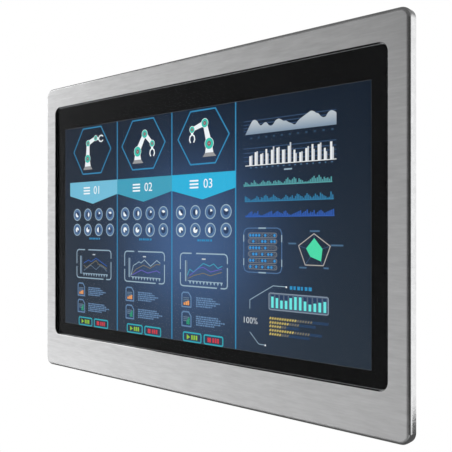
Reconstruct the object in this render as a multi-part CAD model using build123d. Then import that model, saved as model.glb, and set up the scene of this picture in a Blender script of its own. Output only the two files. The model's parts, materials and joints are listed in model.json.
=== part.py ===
from build123d import *
import os

# Flush-front panel computer with a 15.6 inch wide touch display.
# Millimetres. +X is the width, +Z is up, the screen faces -Y.
# Origin: centre of the 100 mm mounting pattern, on the rear face.

# ---------------------------------------------------------------- driving sizes
VIEW_W = 344.16            # lit area of the display
VIEW_H = 193.59
VIEW_Z = 0.6               # display centre above the bezel centre

GLASS_W = VIEW_W + 27.04
GLASS_H = VIEW_H + 35.41
GLASS_T = 3.0
GLASS_R = 6.5
GLASS_Z = 6.0              # glass centre above the bezel centre
GLASS_GAP = 0.3            # all-round gap between glass and steel
POCKET_CHAMFER = 0.25      # broken edge of the steel round the glass

BEZEL_W = GLASS_W + 32.8   # steel front, width
BEZEL_H = GLASS_H + 54.0   # steel front, height
BEZEL_CORNER_R = 8.0       # corner radius seen from the front
BEZEL_EDGE_R = 3.0         # rounding from the front face to the side
FLANGE_T = 8.0             # thickness of the steel front
TOTAL_DEPTH = 56.0         # front face to mounting face

INK_T = 0.15               # black border printed behind the glass
TAPE_T = 0.5               # glass bonding tape and touch sensor
LEDGE_T = 1.2              # steel ledge behind the glass
LEDGE_SIDE = 6.9           # ledge width at the sides
LEDGE_TOP = 7.8
LEDGE_BOTTOM = 4.4

LCD_W = VIEW_W + 19.64     # display module outline
LCD_H = VIEW_H + 22.31
LCD_Z = 4.45
LCD_GAP = 0.15             # module behind the ledge
LCD_CLEAR = 0.9            # all-round room for the module in its recess
SHEET_LCD = 0.8            # sheet thickness of the module's frames
CELL_T = 1.6
FILM_T = 0.6
GUIDE_T = 5.0
REFLECTOR_T = 0.4

TRAY_W = BEZEL_W - 28.0    # part that passes through the panel cut-out
TRAY_H = BEZEL_H - 27.0
TRAY_DEPTH = 12.0
SHEET = 1.5                # steel sheet

HOUSING_W = TRAY_W - 76.0  # cast rear housing
HOUSING_H = TRAY_H - 36.0
HOUSING_WALL = 3.0
HOUSING_BACK = 4.0
HOUSING_FOOT = 8.0         # screw foot around the housing
FOOT_T = 2.0
FIN_H = 8.0
FIN_T = 2.5
FIN_PITCH = 8.0
PAD_SIZE = 124.0           # flat pad of the mounting pattern
VESA_100 = 100.0
VESA_75 = 75.0
INSERT_R = 3.0
INSERT_BORE_R = 1.65       # M4 tapping size
INSERT_L = 8.0

M4_R = 2.0
M3_R = 1.5
HEAD_R = 2.75
HEAD_H = 1.8
SCREW_L = 5.0

GASKET_W = 8.0
GASKET_T = 3.0
GASKET_GROOVE = 2.0
GASKET_INSET = 4.0         # from the flange edge

BOARD_T = 1.6
BOARD_W = 250.0
BOARD_H = 160.0
STANDOFF_L = 4.9

CLAMP_X = TRAY_W / 2 - 33.0    # clamps at the top and bottom, left and right
CLAMP_REACH = 7.5          # screw axis outside the tray wall
CLAMP_TRAVEL = 8.0         # travel of the foot
CLAMP_FOOT_R = 4.0
CLAMP_FOOT_L = 6.0
CLAMP_OPEN = CLAMP_TRAVEL + 2.0    # foot to flange when fully open
RUNNING_FIT = 0.05         # radial clearance of turning pieces
SLIDE_GAP = 0.3            # clearance round sliding buttons

BUTTON_R = 6.0
RESET_R = 2.5
BUTTON_PROUD = 1.5
BUTTON_TRAVEL = 1.2

DOOR_L = 70.0              # storage door, along Z
DOOR_Z = 15.0
DOOR_T = 1.6
DOOR_GAP = 0.4
HINGE_PIN_R = 1.0
KNUCKLE_R = HINGE_PIN_R + 1.2
KNUCKLE_L = 30.0
LUG_L = 8.0

# ---------------------------------------------------------------- stations along the depth
FRONT_Y = -TOTAL_DEPTH
FLANGE_Y = FRONT_Y + FLANGE_T
GLASS_BACK_Y = FRONT_Y + GLASS_T
INK_Y = GLASS_BACK_Y + INK_T
LEDGE_Y = INK_Y + TAPE_T
RECESS_Y = LEDGE_Y + LEDGE_T
LCD_Y = RECESS_Y + LCD_GAP
CELL_Y = LCD_Y + SHEET_LCD
FILM_Y = CELL_Y + CELL_T
GUIDE_Y = FILM_Y + FILM_T
REFLECTOR_Y = GUIDE_Y + GUIDE_T
LCD_FLOOR_Y = REFLECTOR_Y + REFLECTOR_T
LCD_BACK_Y = LCD_FLOOR_Y + SHEET_LCD
TRAY_BACK_Y = FLANGE_Y + TRAY_DEPTH
PLATE_BACK_Y = TRAY_BACK_Y + SHEET
FIN_Y = -FIN_H
CAVITY_Y = FIN_Y - HOUSING_BACK
BOARD_Y = PLATE_BACK_Y + STANDOFF_L
BOARD_BACK_Y = BOARD_Y + BOARD_T

LEDGE_W = GLASS_W + 2 * GLASS_GAP - 2 * LEDGE_SIDE
LEDGE_TOP_Z = GLASS_Z + GLASS_H / 2 + GLASS_GAP - LEDGE_TOP
LEDGE_BOTTOM_Z = GLASS_Z - GLASS_H / 2 - GLASS_GAP + LEDGE_BOTTOM
LEDGE_H = LEDGE_TOP_Z - LEDGE_BOTTOM_Z
LEDGE_Z = (LEDGE_TOP_Z + LEDGE_BOTTOM_Z) / 2
LCD_TOP_Z = LCD_Z + LCD_H / 2
LCD_BOTTOM_Z = LCD_Z - LCD_H / 2
IO_Z = -HOUSING_H / 2      # outside of the wall with the connectors
IO_IN_Z = IO_Z + HOUSING_WALL
SIDE_X = HOUSING_W / 2     # outside of the wall with the storage door


# ---------------------------------------------------------------- shape helpers
def plate(w, h, y0, y1, x=0.0, z=0.0, r=0.0):
    """Upright plate from y0 to y1, w by h, centred at x, z, with corner radius r."""
    if r <= 0:
        return Pos(x, (y0 + y1) / 2, z) * Box(w, y1 - y0, h)
    face = Plane(origin=(x, y1, z), x_dir=(1, 0, 0), z_dir=(0, -1, 0)) * RectangleRounded(w, h, r)
    return extrude(face, amount=y1 - y0)


def block(x0, x1, y0, y1, z0, z1):
    """Box between two corners."""
    return Pos((x0 + x1) / 2, (y0 + y1) / 2, (z0 + z1) / 2) * Box(x1 - x0, y1 - y0, z1 - z0)


def rod(r, y0, y1, x, z):
    """Cylinder along the depth."""
    return Pos(x, (y0 + y1) / 2, z) * Rot(90, 0, 0) * Cylinder(r, y1 - y0)


def pillar(r, z0, z1, x, y):
    """Cylinder along the height."""
    return Pos(x, y, (z0 + z1) / 2) * Cylinder(r, z1 - z0)


def pan_screw(x, z, seat_y, length):
    """M3 pan screw with a cross recess; the head is behind seat_y, the shank in front of it."""
    head = rod(HEAD_R, seat_y, seat_y + HEAD_H, x, z)
    head = chamfer(head.edges().group_by(Axis.Y)[-1], 0.6)
    shank = rod(M3_R, seat_y - length, seat_y, x, z)
    slot_a = plate(3.0, 0.6, seat_y + HEAD_H - 0.9, seat_y + HEAD_H + 1, x, z)
    slot_b = plate(0.6, 3.0, seat_y + HEAD_H - 0.9, seat_y + HEAD_H + 1, x, z)
    return head + shank - slot_a - slot_b


def hex_nut(x, z, y0, height, across, bore_r):
    """Hexagon nut with its axis along the depth."""
    face = Plane(origin=(x, y0 + height, z), x_dir=(1, 0, 0), z_dir=(0, -1, 0))
    body = extrude(face * RegularPolygon(across / 2, 6, major_radius=False), amount=height)
    return body - rod(bore_r, y0 - 1, y0 + height + 1, x, z)


# ---------------------------------------------------------------- places of the fasteners
STUD_TOP_Z = (LCD_TOP_Z + TRAY_H / 2) / 2
STUD_BOTTOM_Z = (LCD_BOTTOM_Z - TRAY_H / 2) / 2
STUD_X = (-140.0, -30.0, 30.0, 140.0)
CLIP_X = (-85.0, 85.0)
TAB_X = (18.0 - TRAY_W / 2, -60.0, 60.0, TRAY_W / 2 - 18.0)
TAB_Z = TRAY_H / 2 - 6.5
FOOT_X = SIDE_X + HOUSING_FOOT / 2
FOOT_Z = HOUSING_H / 2 + HOUSING_FOOT / 2
QUARTERS = [(sx, sz) for sx in (-1, 1) for sz in (-1, 1)]
FOOT_SCREWS = [(sx * FOOT_X, sz * (HOUSING_H / 2 - 15.0)) for sx, sz in QUARTERS]
FOOT_SCREWS += [(sx * (HOUSING_W / 2 - 40.0), sz * FOOT_Z) for sx, sz in QUARTERS]
BOARD_Z = IO_IN_Z + 1.0 + BOARD_H / 2
BOARD_HOLES = [(x, BOARD_Z + z) for x in (-120.0, 0.0, 120.0) for z in (-45.0, 74.0)]
VESA_HOLES = [(sx * p / 2, sz * p / 2) for p in (VESA_100, VESA_75) for sx, sz in QUARTERS]


def plain_studs():
    return [(x, z) for x in STUD_X for z in (STUD_TOP_Z, STUD_BOTTOM_Z)]


def clip_studs():
    return [(x, z) for x in CLIP_X for z in (STUD_TOP_Z, STUD_BOTTOM_Z)]


# ---------------------------------------------------------------- front
GASKET_OUT_W = BEZEL_W - 2 * GASKET_INSET
GASKET_OUT_H = BEZEL_H - 2 * GASKET_INSET


def gasket_ring(y0, y1, slack):
    outer = plate(GASKET_OUT_W + 2 * slack, GASKET_OUT_H + 2 * slack, y0, y1, r=6.0)
    inner_w = GASKET_OUT_W - 2 * GASKET_W - 2 * slack
    inner_h = GASKET_OUT_H - 2 * GASKET_W - 2 * slack
    return outer - plate(inner_w, inner_h, y0 - 1, y1 + 1, r=3.0)


def front_bezel():
    """Steel front with rounded edges, a glass pocket, a ledge and a recess for the display."""
    body = plate(BEZEL_W, BEZEL_H, FRONT_Y, FLANGE_Y, r=BEZEL_CORNER_R)
    body = fillet(body.edges().group_by(Axis.Y)[0], BEZEL_EDGE_R)
    pocket_w = GLASS_W + 2 * GLASS_GAP
    pocket_h = GLASS_H + 2 * GLASS_GAP
    body -= plate(pocket_w, pocket_h, FRONT_Y - 1, LEDGE_Y, z=GLASS_Z, r=GLASS_R + GLASS_GAP)
    rim = [e for e in body.edges().group_by(Axis.Y)[0] if abs(e.center().X) <= pocket_w / 2 + 0.01
           and abs(e.center().Z - GLASS_Z) <= pocket_h / 2 + 0.01]
    body = chamfer(rim, POCKET_CHAMFER)
    body -= plate(LEDGE_W, LEDGE_H, LEDGE_Y - 1, FLANGE_Y + 1, z=LEDGE_Z, r=2.0)
    recess_w = LCD_W + 2 * LCD_CLEAR
    recess_h = LCD_H + 2 * LCD_CLEAR
    body -= plate(recess_w, recess_h, RECESS_Y, FLANGE_Y + 1, z=LCD_Z, r=2.0)
    return body - gasket_ring(FLANGE_Y - GASKET_GROOVE, FLANGE_Y + 1, 0.1)


def cover_glass():
    body = plate(GLASS_W, GLASS_H, FRONT_Y, GLASS_BACK_Y, z=GLASS_Z, r=GLASS_R)
    return chamfer(body.edges().group_by(Axis.Y)[0], 0.25)


def border_print():
    """Black ink ring behind the glass, open over the lit area."""
    ring = plate(GLASS_W - 0.6, GLASS_H - 0.6, GLASS_BACK_Y, INK_Y, z=GLASS_Z, r=GLASS_R - 0.3)
    return ring - plate(VIEW_W + 1.0, VIEW_H + 1.0, GLASS_BACK_Y - 1, INK_Y + 1, z=VIEW_Z)


def bonding_tape():
    ring = plate(GLASS_W - 1.0, GLASS_H - 1.0, INK_Y, LEDGE_Y, z=GLASS_Z, r=GLASS_R - 0.5)
    return ring - plate(LEDGE_W, LEDGE_H, INK_Y - 1, LEDGE_Y + 1, z=LEDGE_Z, r=2.0)


def touch_sensor():
    return plate(LEDGE_W - 1.0, LEDGE_H - 0.4, INK_Y, LEDGE_Y, z=LEDGE_Z, r=1.5)


def optical_bond():
    """Clear gel between the touch sensor and the display cell, through the module's window."""
    return plate(VIEW_W + 1.6, VIEW_H + 1.6, LEDGE_Y, CELL_Y, z=VIEW_Z)


def panel_gasket():
    ring_y = FLANGE_Y - GASKET_GROOVE
    return gasket_ring(ring_y, ring_y + GASKET_T, 0.0)


def stud_set():
    return [rod(M4_R, FLANGE_Y, FLANGE_Y + 8.0, x, z) for x, z in plain_studs() + clip_studs()]


def stud_nuts():
    plain = [hex_nut(x, z, FLANGE_Y + SHEET, 3.2, 7.0, M4_R) for x, z in plain_studs()]
    on_clips = [hex_nut(x, z, FLANGE_Y + 2 * SHEET, 3.2, 7.0, M4_R) for x, z in clip_studs()]
    return plain + on_clips


# ---------------------------------------------------------------- display module
def lcd_front_frame():
    body = plate(LCD_W, LCD_H, LCD_Y, FILM_Y + FILM_T, z=LCD_Z, r=1.0)
    inner_w = LCD_W - 2 * SHEET_LCD
    inner_h = LCD_H - 2 * SHEET_LCD
    body -= plate(inner_w, inner_h, CELL_Y, GUIDE_Y + 1, z=LCD_Z)
    return body - plate(VIEW_W + 3.0, VIEW_H + 3.0, LCD_Y - 1, CELL_Y + 1, z=VIEW_Z)


def lcd_cell():
    return plate(VIEW_W + 13.8, VIEW_H + 12.4, CELL_Y, FILM_Y, z=VIEW_Z + 2.0)


GUIDE_H = VIEW_H + 7.41
GUIDE_CENTRE_Z = LCD_TOP_Z - 2 * SHEET_LCD - 1.0 - GUIDE_H / 2 - 4.0
GUIDE_BOTTOM_Z = GUIDE_CENTRE_Z - GUIDE_H / 2


def light_guide():
    return plate(VIEW_W + 9.8, GUIDE_H, GUIDE_Y, REFLECTOR_Y, z=GUIDE_CENTRE_Z)


def backlight_films():
    """Diffuser stack in front of the light guide and reflector sheet behind it."""
    front = plate(VIEW_W + 11.8, VIEW_H + 10.4, FILM_Y, GUIDE_Y, z=VIEW_Z + 2.0)
    back = plate(VIEW_W + 11.8, GUIDE_H + 4.0, REFLECTOR_Y, LCD_FLOOR_Y, z=GUIDE_CENTRE_Z)
    return [front, back]


def led_strip():
    """Circuit strip under the light guide with a row of light emitters facing up into it."""
    strip_z = GUIDE_BOTTOM_Z - 1.4
    count = 30
    pitch = VIEW_W / count
    strip = block(-VIEW_W / 2, VIEW_W / 2, GUIDE_Y + 0.4, REFLECTOR_Y - 0.4, strip_z - 1.0, strip_z)
    first_x = -VIEW_W / 2 + pitch / 2
    emitters = [
        block(first_x + i * pitch - 2.8, first_x + i * pitch + 2.8, GUIDE_Y + 1.2, REFLECTOR_Y - 1.2,
              strip_z, strip_z + 1.2)
        for i in range(count)
    ]
    return [strip] + emitters


def lcd_rear_tray():
    w = LCD_W - 2 * SHEET_LCD - 0.2
    h = LCD_H - 2 * SHEET_LCD - 0.2
    body = plate(w, h, GUIDE_Y, LCD_BACK_Y, z=LCD_Z)
    return body - plate(w - 2 * SHEET_LCD, h - 2 * SHEET_LCD, GUIDE_Y - 1, LCD_FLOOR_Y, z=LCD_Z)


def lcd_driver_board():
    board = plate(190.0, 26.0, LCD_BACK_Y, LCD_BACK_Y + 1.2, z=LCD_TOP_Z - 36.0, r=1.0)
    chips = [
        plate(w, h, LCD_BACK_Y + 1.2, LCD_BACK_Y + 2.4, x=x, z=LCD_TOP_Z - 36.0)
        for x, w, h in ((-60.0, 14.0, 14.0), (-20.0, 9.0, 9.0), (30.0, 12.0, 6.0), (70.0, 20.0, 5.0))
    ]
    return [board] + chips


def lcd_clips():
    """Four bent clips, each on a stud, that hold the display module against the ledge."""
    clips = []
    for x in CLIP_X:
        for side, edge, stud in ((1, LCD_TOP_Z, STUD_TOP_Z), (-1, LCD_BOTTOM_Z, STUD_BOTTOM_Z)):
            riser = edge + side * 1.6
            outer = stud + side * 6.0
            foot_y = FLANGE_Y + SHEET
            foot = block(x - 7, x + 7, foot_y, foot_y + SHEET, min(riser, outer), max(riser, outer))
            low, high = sorted((riser, riser + side * SHEET))
            wall = block(x - 7, x + 7, foot_y, LCD_BACK_Y + SHEET, low, high)
            low, high = sorted((riser + side * SHEET, edge - side * 12.0))
            finger = block(x - 7, x + 7, LCD_BACK_Y, LCD_BACK_Y + SHEET, low, high)
            clips.append(foot + wall + finger - rod(M4_R + 0.25, foot_y - 1, foot_y + 3, x, stud))
    return clips


# ---------------------------------------------------------------- shallow tray
def chassis_frame():
    """Folded frame through the panel cut-out, with a lip on the studs and tabs for the plate."""
    body = plate(TRAY_W, TRAY_H, FLANGE_Y, TRAY_BACK_Y, r=3.0)
    body -= plate(TRAY_W - 2 * SHEET, TRAY_H - 2 * SHEET, FLANGE_Y - 1, TRAY_BACK_Y + 1, r=1.5)
    half_w = TRAY_W / 2 - SHEET
    half_h = TRAY_H / 2 - SHEET
    lip_y = FLANGE_Y + SHEET
    body += block(-half_w, half_w, FLANGE_Y, lip_y, LCD_TOP_Z + 1.2, half_h + 0.5)
    body += block(-half_w, half_w, FLANGE_Y, lip_y, -half_h - 0.5, LCD_BOTTOM_Z - 2.0)
    for x in TAB_X:
        for side in (-1, 1):
            low, high = sorted((side * (half_h + 0.5), side * (half_h - 10.0)))
            body += block(x - 8, x + 8, TRAY_BACK_Y - SHEET, TRAY_BACK_Y, low, high)
            body -= rod(M3_R, TRAY_BACK_Y - 3, TRAY_BACK_Y + 1, x, side * TAB_Z)
    for x, z in plain_studs() + clip_studs():
        body -= rod(M4_R + 0.25, FLANGE_Y - 1, lip_y + 1, x, z)
    for side in (-1, 1):
        for x in (-CLAMP_X, CLAMP_X):
            low, high = sorted((side * (half_h - 1.0), side * (TRAY_H / 2 + 1.0)))
            body -= block(x - 5.2, x + 5.2, HOOK_Y - 0.2, HOOK_Y + 2.2, low, high)
    return body


def mid_plate():
    body = plate(TRAY_W, TRAY_H, TRAY_BACK_Y, PLATE_BACK_Y, r=3.0)
    for x in TAB_X:
        for side in (-1, 1):
            body -= rod(M3_R + 0.2, TRAY_BACK_Y - 1, PLATE_BACK_Y + 1, x, side * TAB_Z)
    for x, z in FOOT_SCREWS:
        body -= rod(M3_R, TRAY_BACK_Y - 1, PLATE_BACK_Y + 1, x, z)
    for x in (-60.0, 60.0):
        body -= plate(44.0, 14.0, TRAY_BACK_Y - 1, PLATE_BACK_Y + 1, x=x, z=84.0, r=3.0)
    return body


TOUCH_BOARD_X = 132.0
TOUCH_BOARD_Z = -60.0
FLEX_Z = LEDGE_BOTTOM_Z + 0.3
FLEX_T = 0.2


def touch_controller():
    """Touch controller board on the front of the plate."""
    y = TRAY_BACK_Y
    board = plate(70.0, 30.0, y - 1.2, y, x=TOUCH_BOARD_X, z=TOUCH_BOARD_Z, r=1.0)
    chip = plate(12.0, 12.0, y - 2.2, y - 1.2, x=TOUCH_BOARD_X + 14.0, z=TOUCH_BOARD_Z)
    socket = plate(24.0, 5.0, y - 2.2, y - 1.2, x=TOUCH_BOARD_X - 10.0, z=TOUCH_BOARD_Z - 10.0)
    return [board, chip, socket]


def touch_flex():
    """Ribbon from the lower edge of the sensor, round the display, to the controller's socket."""
    x0, x1 = TOUCH_BOARD_X - 20.0, TOUCH_BOARD_X
    end_y = TRAY_BACK_Y - 2.2
    down = block(x0, x1, LEDGE_Y, end_y, FLEX_Z - FLEX_T, FLEX_Z)
    back = block(x0, x1, end_y - FLEX_T, end_y, FLEX_Z - FLEX_T, TOUCH_BOARD_Z - 8.0)
    return down + back


# ---------------------------------------------------------------- rear housing
PORT_GAP = 0.25
TERMINAL_X = -112.0
POWER_X = -84.0
RESET_X = -66.0
HDMI_X = -42.0
LAN_X = (-14.0, 8.0)
USB_X = (32.0, 50.0, 68.0, 86.0)
EARTH_X = -138.0
BUTTON_Y = (BOARD_BACK_Y + CAVITY_Y) / 2
LAN_W, LAN_H, LAN_L = 16.0, 13.5, 21.0
USB_W, USB_H, USB_L = 13.2, 5.8, 14.0
HDMI_W, HDMI_H, HDMI_L = 15.2, 5.8, 12.0
TERMINAL_W, TERMINAL_H, TERMINAL_L = 20.0, 9.0, 12.0
DOOR_Y0 = PLATE_BACK_Y + FOOT_T + 1.5
HINGE_X = SIDE_X + DOOR_GAP + KNUCKLE_R
HINGE_Y = FIN_Y - 1.5
WINDOW_L = 58.0


def fin_places():
    """Fins across the back: full length beside the pad, short above and below it."""
    places = []
    count = int((HOUSING_W / 2 - 6.0) // FIN_PITCH)
    long_z = HOUSING_H / 2 - 8.0
    short_z = PAD_SIZE / 2 + 6.0
    for i in range(-count, count + 1):
        x = i * FIN_PITCH
        if abs(x) > PAD_SIZE / 2 + 2.0:
            places.append((x, -long_z, long_z))
        else:
            places.append((x, short_z, long_z))
            places.append((x, -long_z, -short_z))
    return places


def io_cutouts():
    """Openings in the lower wall for the connectors, buttons and earth screw."""
    z0, z1 = IO_Z - 1.0, IO_IN_Z + 1.0
    cuts = []
    ports = [(TERMINAL_X, TERMINAL_W, TERMINAL_H), (HDMI_X, HDMI_W, HDMI_H)]
    ports += [(x, LAN_W, LAN_H) for x in LAN_X] + [(x, USB_W, USB_H) for x in USB_X]
    for x, w, h in ports:
        cuts.append(block(x - w / 2 - PORT_GAP, x + w / 2 + PORT_GAP,
                          BOARD_BACK_Y - PORT_GAP, BOARD_BACK_Y + h + PORT_GAP, z0, z1))
    cuts.append(pillar(BUTTON_R + SLIDE_GAP, z0, z1, POWER_X, BUTTON_Y))
    cuts.append(pillar(RESET_R + SLIDE_GAP, z0, z1, RESET_X, BUTTON_Y))
    cuts.append(pillar(M4_R, z0, z1, EARTH_X, BUTTON_Y))
    return cuts


def rear_housing():
    """Cast aluminium housing with cooling fins, the mounting pad and the connector wall."""
    body = plate(HOUSING_W, HOUSING_H, PLATE_BACK_Y, FIN_Y, r=5.0)
    body = fillet(body.edges().group_by(Axis.Y)[-1], 2.0)
    body += plate(HOUSING_W + 2 * HOUSING_FOOT, HOUSING_H + 2 * HOUSING_FOOT,
                  PLATE_BACK_Y, PLATE_BACK_Y + FOOT_T, r=8.0)
    body += plate(PAD_SIZE, PAD_SIZE, FIN_Y - 1.0, 0.0, r=4.0)
    fins = [block(x - FIN_T / 2, x + FIN_T / 2, FIN_Y - 1.0, -0.5, z0, z1) for x, z0, z1 in fin_places()]
    body += fins
    inner_w = HOUSING_W - 2 * HOUSING_WALL
    inner_h = HOUSING_H - 2 * HOUSING_WALL
    body -= plate(inner_w, inner_h, PLATE_BACK_Y - 1, CAVITY_Y, r=3.0)
    for x, z in FOOT_SCREWS:
        body -= rod(M3_R + 0.2, PLATE_BACK_Y - 1, PLATE_BACK_Y + FOOT_T + 1, x, z)
    for x, z in VESA_HOLES:
        body -= rod(INSERT_R, -INSERT_L - 1.0, 1.0, x, z)
    for cut in io_cutouts():
        body -= cut
    body -= block(SIDE_X - HOUSING_WALL - 1, SIDE_X + 1, DOOR_Y0 + 3.0, HINGE_Y - 4.5,
                  DOOR_Z - WINDOW_L / 2, DOOR_Z + WINDOW_L / 2)
    for side in (-1, 1):
        z0, z1 = sorted((DOOR_Z + side * (KNUCKLE_L / 2 + 0.3), DOOR_Z + side * (KNUCKLE_L / 2 + LUG_L)))
        lug = pillar(KNUCKLE_R, z0, z1, HINGE_X, HINGE_Y)
        lug += block(SIDE_X - 1, HINGE_X, HINGE_Y - KNUCKLE_R, HINGE_Y + KNUCKLE_R, z0, z1)
        body += lug - pillar(HINGE_PIN_R, z0 - 1, z1 + 1, HINGE_X, HINGE_Y)
    return body


def pan_screws():
    """The identical screws of the plate, the housing and the board."""
    seats = [(x, side * TAB_Z, PLATE_BACK_Y) for x in TAB_X for side in (-1, 1)]
    seats += [(x, z, PLATE_BACK_Y + FOOT_T) for x, z in FOOT_SCREWS]
    seats += [(x, z, BOARD_BACK_Y) for x, z in BOARD_HOLES]
    return [pan_screw(x, z, y, SCREW_L) for x, z, y in seats]


def vesa_inserts():
    """Threaded steel inserts of both mounting patterns, open at the back."""
    inserts = []
    for x, z in VESA_HOLES:
        inserts.append(rod(INSERT_R, -INSERT_L, 0.0, x, z) - rod(INSERT_BORE_R, -INSERT_L - 1, 1.0, x, z))
    return inserts


def rating_plate():
    """Blank plate on the top wall."""
    top = HOUSING_H / 2
    return block(-40.0, 40.0, PLATE_BACK_Y + 4.0, FIN_Y - 4.0, top, top + 0.5)


def earth_screw():
    """Earth terminal: screw, spring washer and flat washer under the lower wall."""
    flat = pillar(5.0, IO_Z - 1.0, IO_Z, EARTH_X, BUTTON_Y)
    head = pillar(3.8, IO_Z - 4.0, IO_Z - 1.0, EARTH_X, BUTTON_Y)
    shank = pillar(M4_R, IO_Z - 1.0, IO_IN_Z + 2.0, EARTH_X, BUTTON_Y)
    slot = block(EARTH_X - 5, EARTH_X + 5, BUTTON_Y - 0.5, BUTTON_Y + 0.5, IO_Z - 4.5, IO_Z - 3.0)
    return flat + head + shank - slot


# ---------------------------------------------------------------- electronics
CPU_X, CPU_Z = 0.0, BOARD_Z + 34.0
PAD_T = 0.5
MEMORY_X = 40.0
MEMORY_Z = BOARD_Z + 24.0
MEMORY_L = 65.0
CELL_X = -15.0
CELL_Z = BOARD_Z - 26.0


def mainboard():
    body = plate(BOARD_W, BOARD_H, BOARD_Y, BOARD_BACK_Y, z=BOARD_Z, r=2.0)
    for x, z in BOARD_HOLES:
        body -= rod(M3_R + 0.1, BOARD_Y - 1, BOARD_BACK_Y + 1, x, z)
    return body


def board_standoffs():
    posts = []
    for x, z in BOARD_HOLES:
        post = hex_nut(x, z, PLATE_BACK_Y, STANDOFF_L, 5.5, M3_R)
        posts.append(post)
    return posts


def cpu_package():
    base = plate(32.0, 32.0, BOARD_BACK_Y, BOARD_BACK_Y + 1.2, x=CPU_X, z=CPU_Z, r=0.8)
    return base + plate(16.0, 18.0, BOARD_BACK_Y + 1.0, BOARD_BACK_Y + 2.0, x=CPU_X, z=CPU_Z)


def heat_spreader():
    body = plate(56.0, 56.0, BOARD_BACK_Y + 4.0, CAVITY_Y - PAD_T, x=CPU_X, z=CPU_Z, r=3.0)
    return body + plate(24.0, 24.0, BOARD_BACK_Y + 2.0, BOARD_BACK_Y + 5.0, x=CPU_X, z=CPU_Z)


def thermal_pad():
    return plate(54.0, 54.0, CAVITY_Y - PAD_T, CAVITY_Y, x=CPU_X, z=CPU_Z, r=3.0)


def memory_socket():
    """Lying memory socket with two side arms."""
    y = BOARD_BACK_Y
    x = MEMORY_X
    z0 = MEMORY_Z - MEMORY_L / 2
    z1 = MEMORY_Z + MEMORY_L / 2
    body = block(x, x + 8.0, y, y + 5.0, z0 - 3.5, z1 + 3.5)
    arms = block(x + 6.0, x + 36.0, y, y + 5.0, z0 - 3.5, z0 - 0.5)
    arms += block(x + 6.0, x + 36.0, y, y + 5.0, z1 + 0.5, z1 + 3.5)
    slot = block(x + 3.0, x + 9.0, y + 1.9, y + 3.1, z0 - 0.1, z1 + 0.1)
    return body + arms - slot


def memory_module():
    y = BOARD_BACK_Y + 1.95
    x = MEMORY_X + 3.5
    card = block(x, x + 30.0, y, y + 1.1, MEMORY_Z - MEMORY_L / 2, MEMORY_Z + MEMORY_L / 2)
    rows = [MEMORY_Z + i * 15.0 for i in (-1.5, -0.5, 0.5, 1.5)]
    return [card] + [block(x + 9.5, x + 21.5, y + 1.1, y + 2.2, z - 6.0, z + 6.0) for z in rows]


def storage_drive():
    """Slim drive module on the board, left of the processor."""
    y = BOARD_BACK_Y
    return plate(54.0, 70.0, y, y + 5.0, x=-72.0, z=BOARD_Z + 14.0, r=1.5)


def battery_holder():
    y = BOARD_BACK_Y
    return rod(11.6, y, y + 5.0, CELL_X, CELL_Z) - rod(10.1, y + 1.5, y + 6.0, CELL_X, CELL_Z)


def coin_cell():
    body = rod(10.0, BOARD_BACK_Y + 1.5, BOARD_BACK_Y + 4.7, CELL_X, CELL_Z)
    return chamfer(body.edges().group_by(Axis.Y)[-1], 0.4)


def board_parts():
    """Inductors, capacitors and chips spread over the board."""
    y = BOARD_BACK_Y
    z = BOARD_Z
    parts = [plate(7.0, 7.0, y, y + 4.0, x=x, z=z + 64.0, r=1.0) for x in (-34.0, -24.0, 24.0, 34.0)]
    parts += [rod(3.1, y, y + 7.0, x, z + 76.0) for x in (-40.0, -30.0, 30.0, 40.0)]
    parts += [plate(17.0, 17.0, y, y + 1.4, x=x, z=z - 32.0) for x in (20.0, 62.0)]
    parts += [plate(10.0, 10.0, y, y + 1.2, x=x, z=z - 46.0) for x in (-75.0, -45.0, 95.0)]
    return parts


def card_slot():
    """Memory card holder behind the storage door."""
    x1 = SIDE_X - HOUSING_WALL - 1.0
    y = BOARD_BACK_Y + 2.0
    body = block(x1 - 40.0, x1, y, y + 6.0, DOOR_Z - 24.0, DOOR_Z + 24.0)
    return body - block(x1 - 38.0, x1 + 1, y + 1.2, y + 4.8, DOOR_Z - 21.6, DOOR_Z + 21.6)


def memory_card():
    x1 = SIDE_X - HOUSING_WALL
    y = BOARD_BACK_Y + 3.3
    return block(x1 - 37.0, x1, y, y + 3.3, DOOR_Z - 21.4, DOOR_Z + 21.4)


# ---------------------------------------------------------------- connectors
def port_box(x, w, h, length):
    return block(x - w / 2, x + w / 2, BOARD_BACK_Y, BOARD_BACK_Y + h, IO_Z - 0.5, IO_Z - 0.5 + length)


def lan_ports():
    shells = []
    for x in LAN_X:
        mid_y = BOARD_BACK_Y + 5.8
        mouth = block(x - 6.0, x + 6.0, mid_y - 4.0, mid_y + 4.0, IO_Z - 2, IO_Z + 13.0)
        latch = block(x - 3.0, x + 3.0, mid_y + 3.5, mid_y + 6.2, IO_Z - 2, IO_Z + 11.0)
        shells.append(port_box(x, LAN_W, LAN_H, LAN_L) - mouth - latch)
    return shells


def usb_shells():
    shells = []
    for x in USB_X:
        inner = block(x - 6.0, x + 6.0, BOARD_BACK_Y + 0.7, BOARD_BACK_Y + USB_H - 0.7,
                      IO_Z - 2, IO_Z + 11.0)
        shells.append(port_box(x, USB_W, USB_H, USB_L) - inner)
    return shells


def usb_tongues():
    y0 = BOARD_BACK_Y + 2.9
    return [block(x - 5.6, x + 5.6, y0, y0 + 1.9, IO_Z + 0.8, IO_Z + 11.0) for x in USB_X]


def hdmi_port():
    y0 = BOARD_BACK_Y
    inner = block(HDMI_X - 7.0, HDMI_X + 7.0, y0 + 0.7, y0 + 5.1, IO_Z - 2, IO_Z + 9.0)
    tongue = block(HDMI_X - 5.8, HDMI_X + 5.8, y0 + 2.3, y0 + 3.5, IO_Z + 0.8, IO_Z + 9.5)
    return port_box(HDMI_X, HDMI_W, HDMI_H, HDMI_L) - inner + tongue


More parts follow.
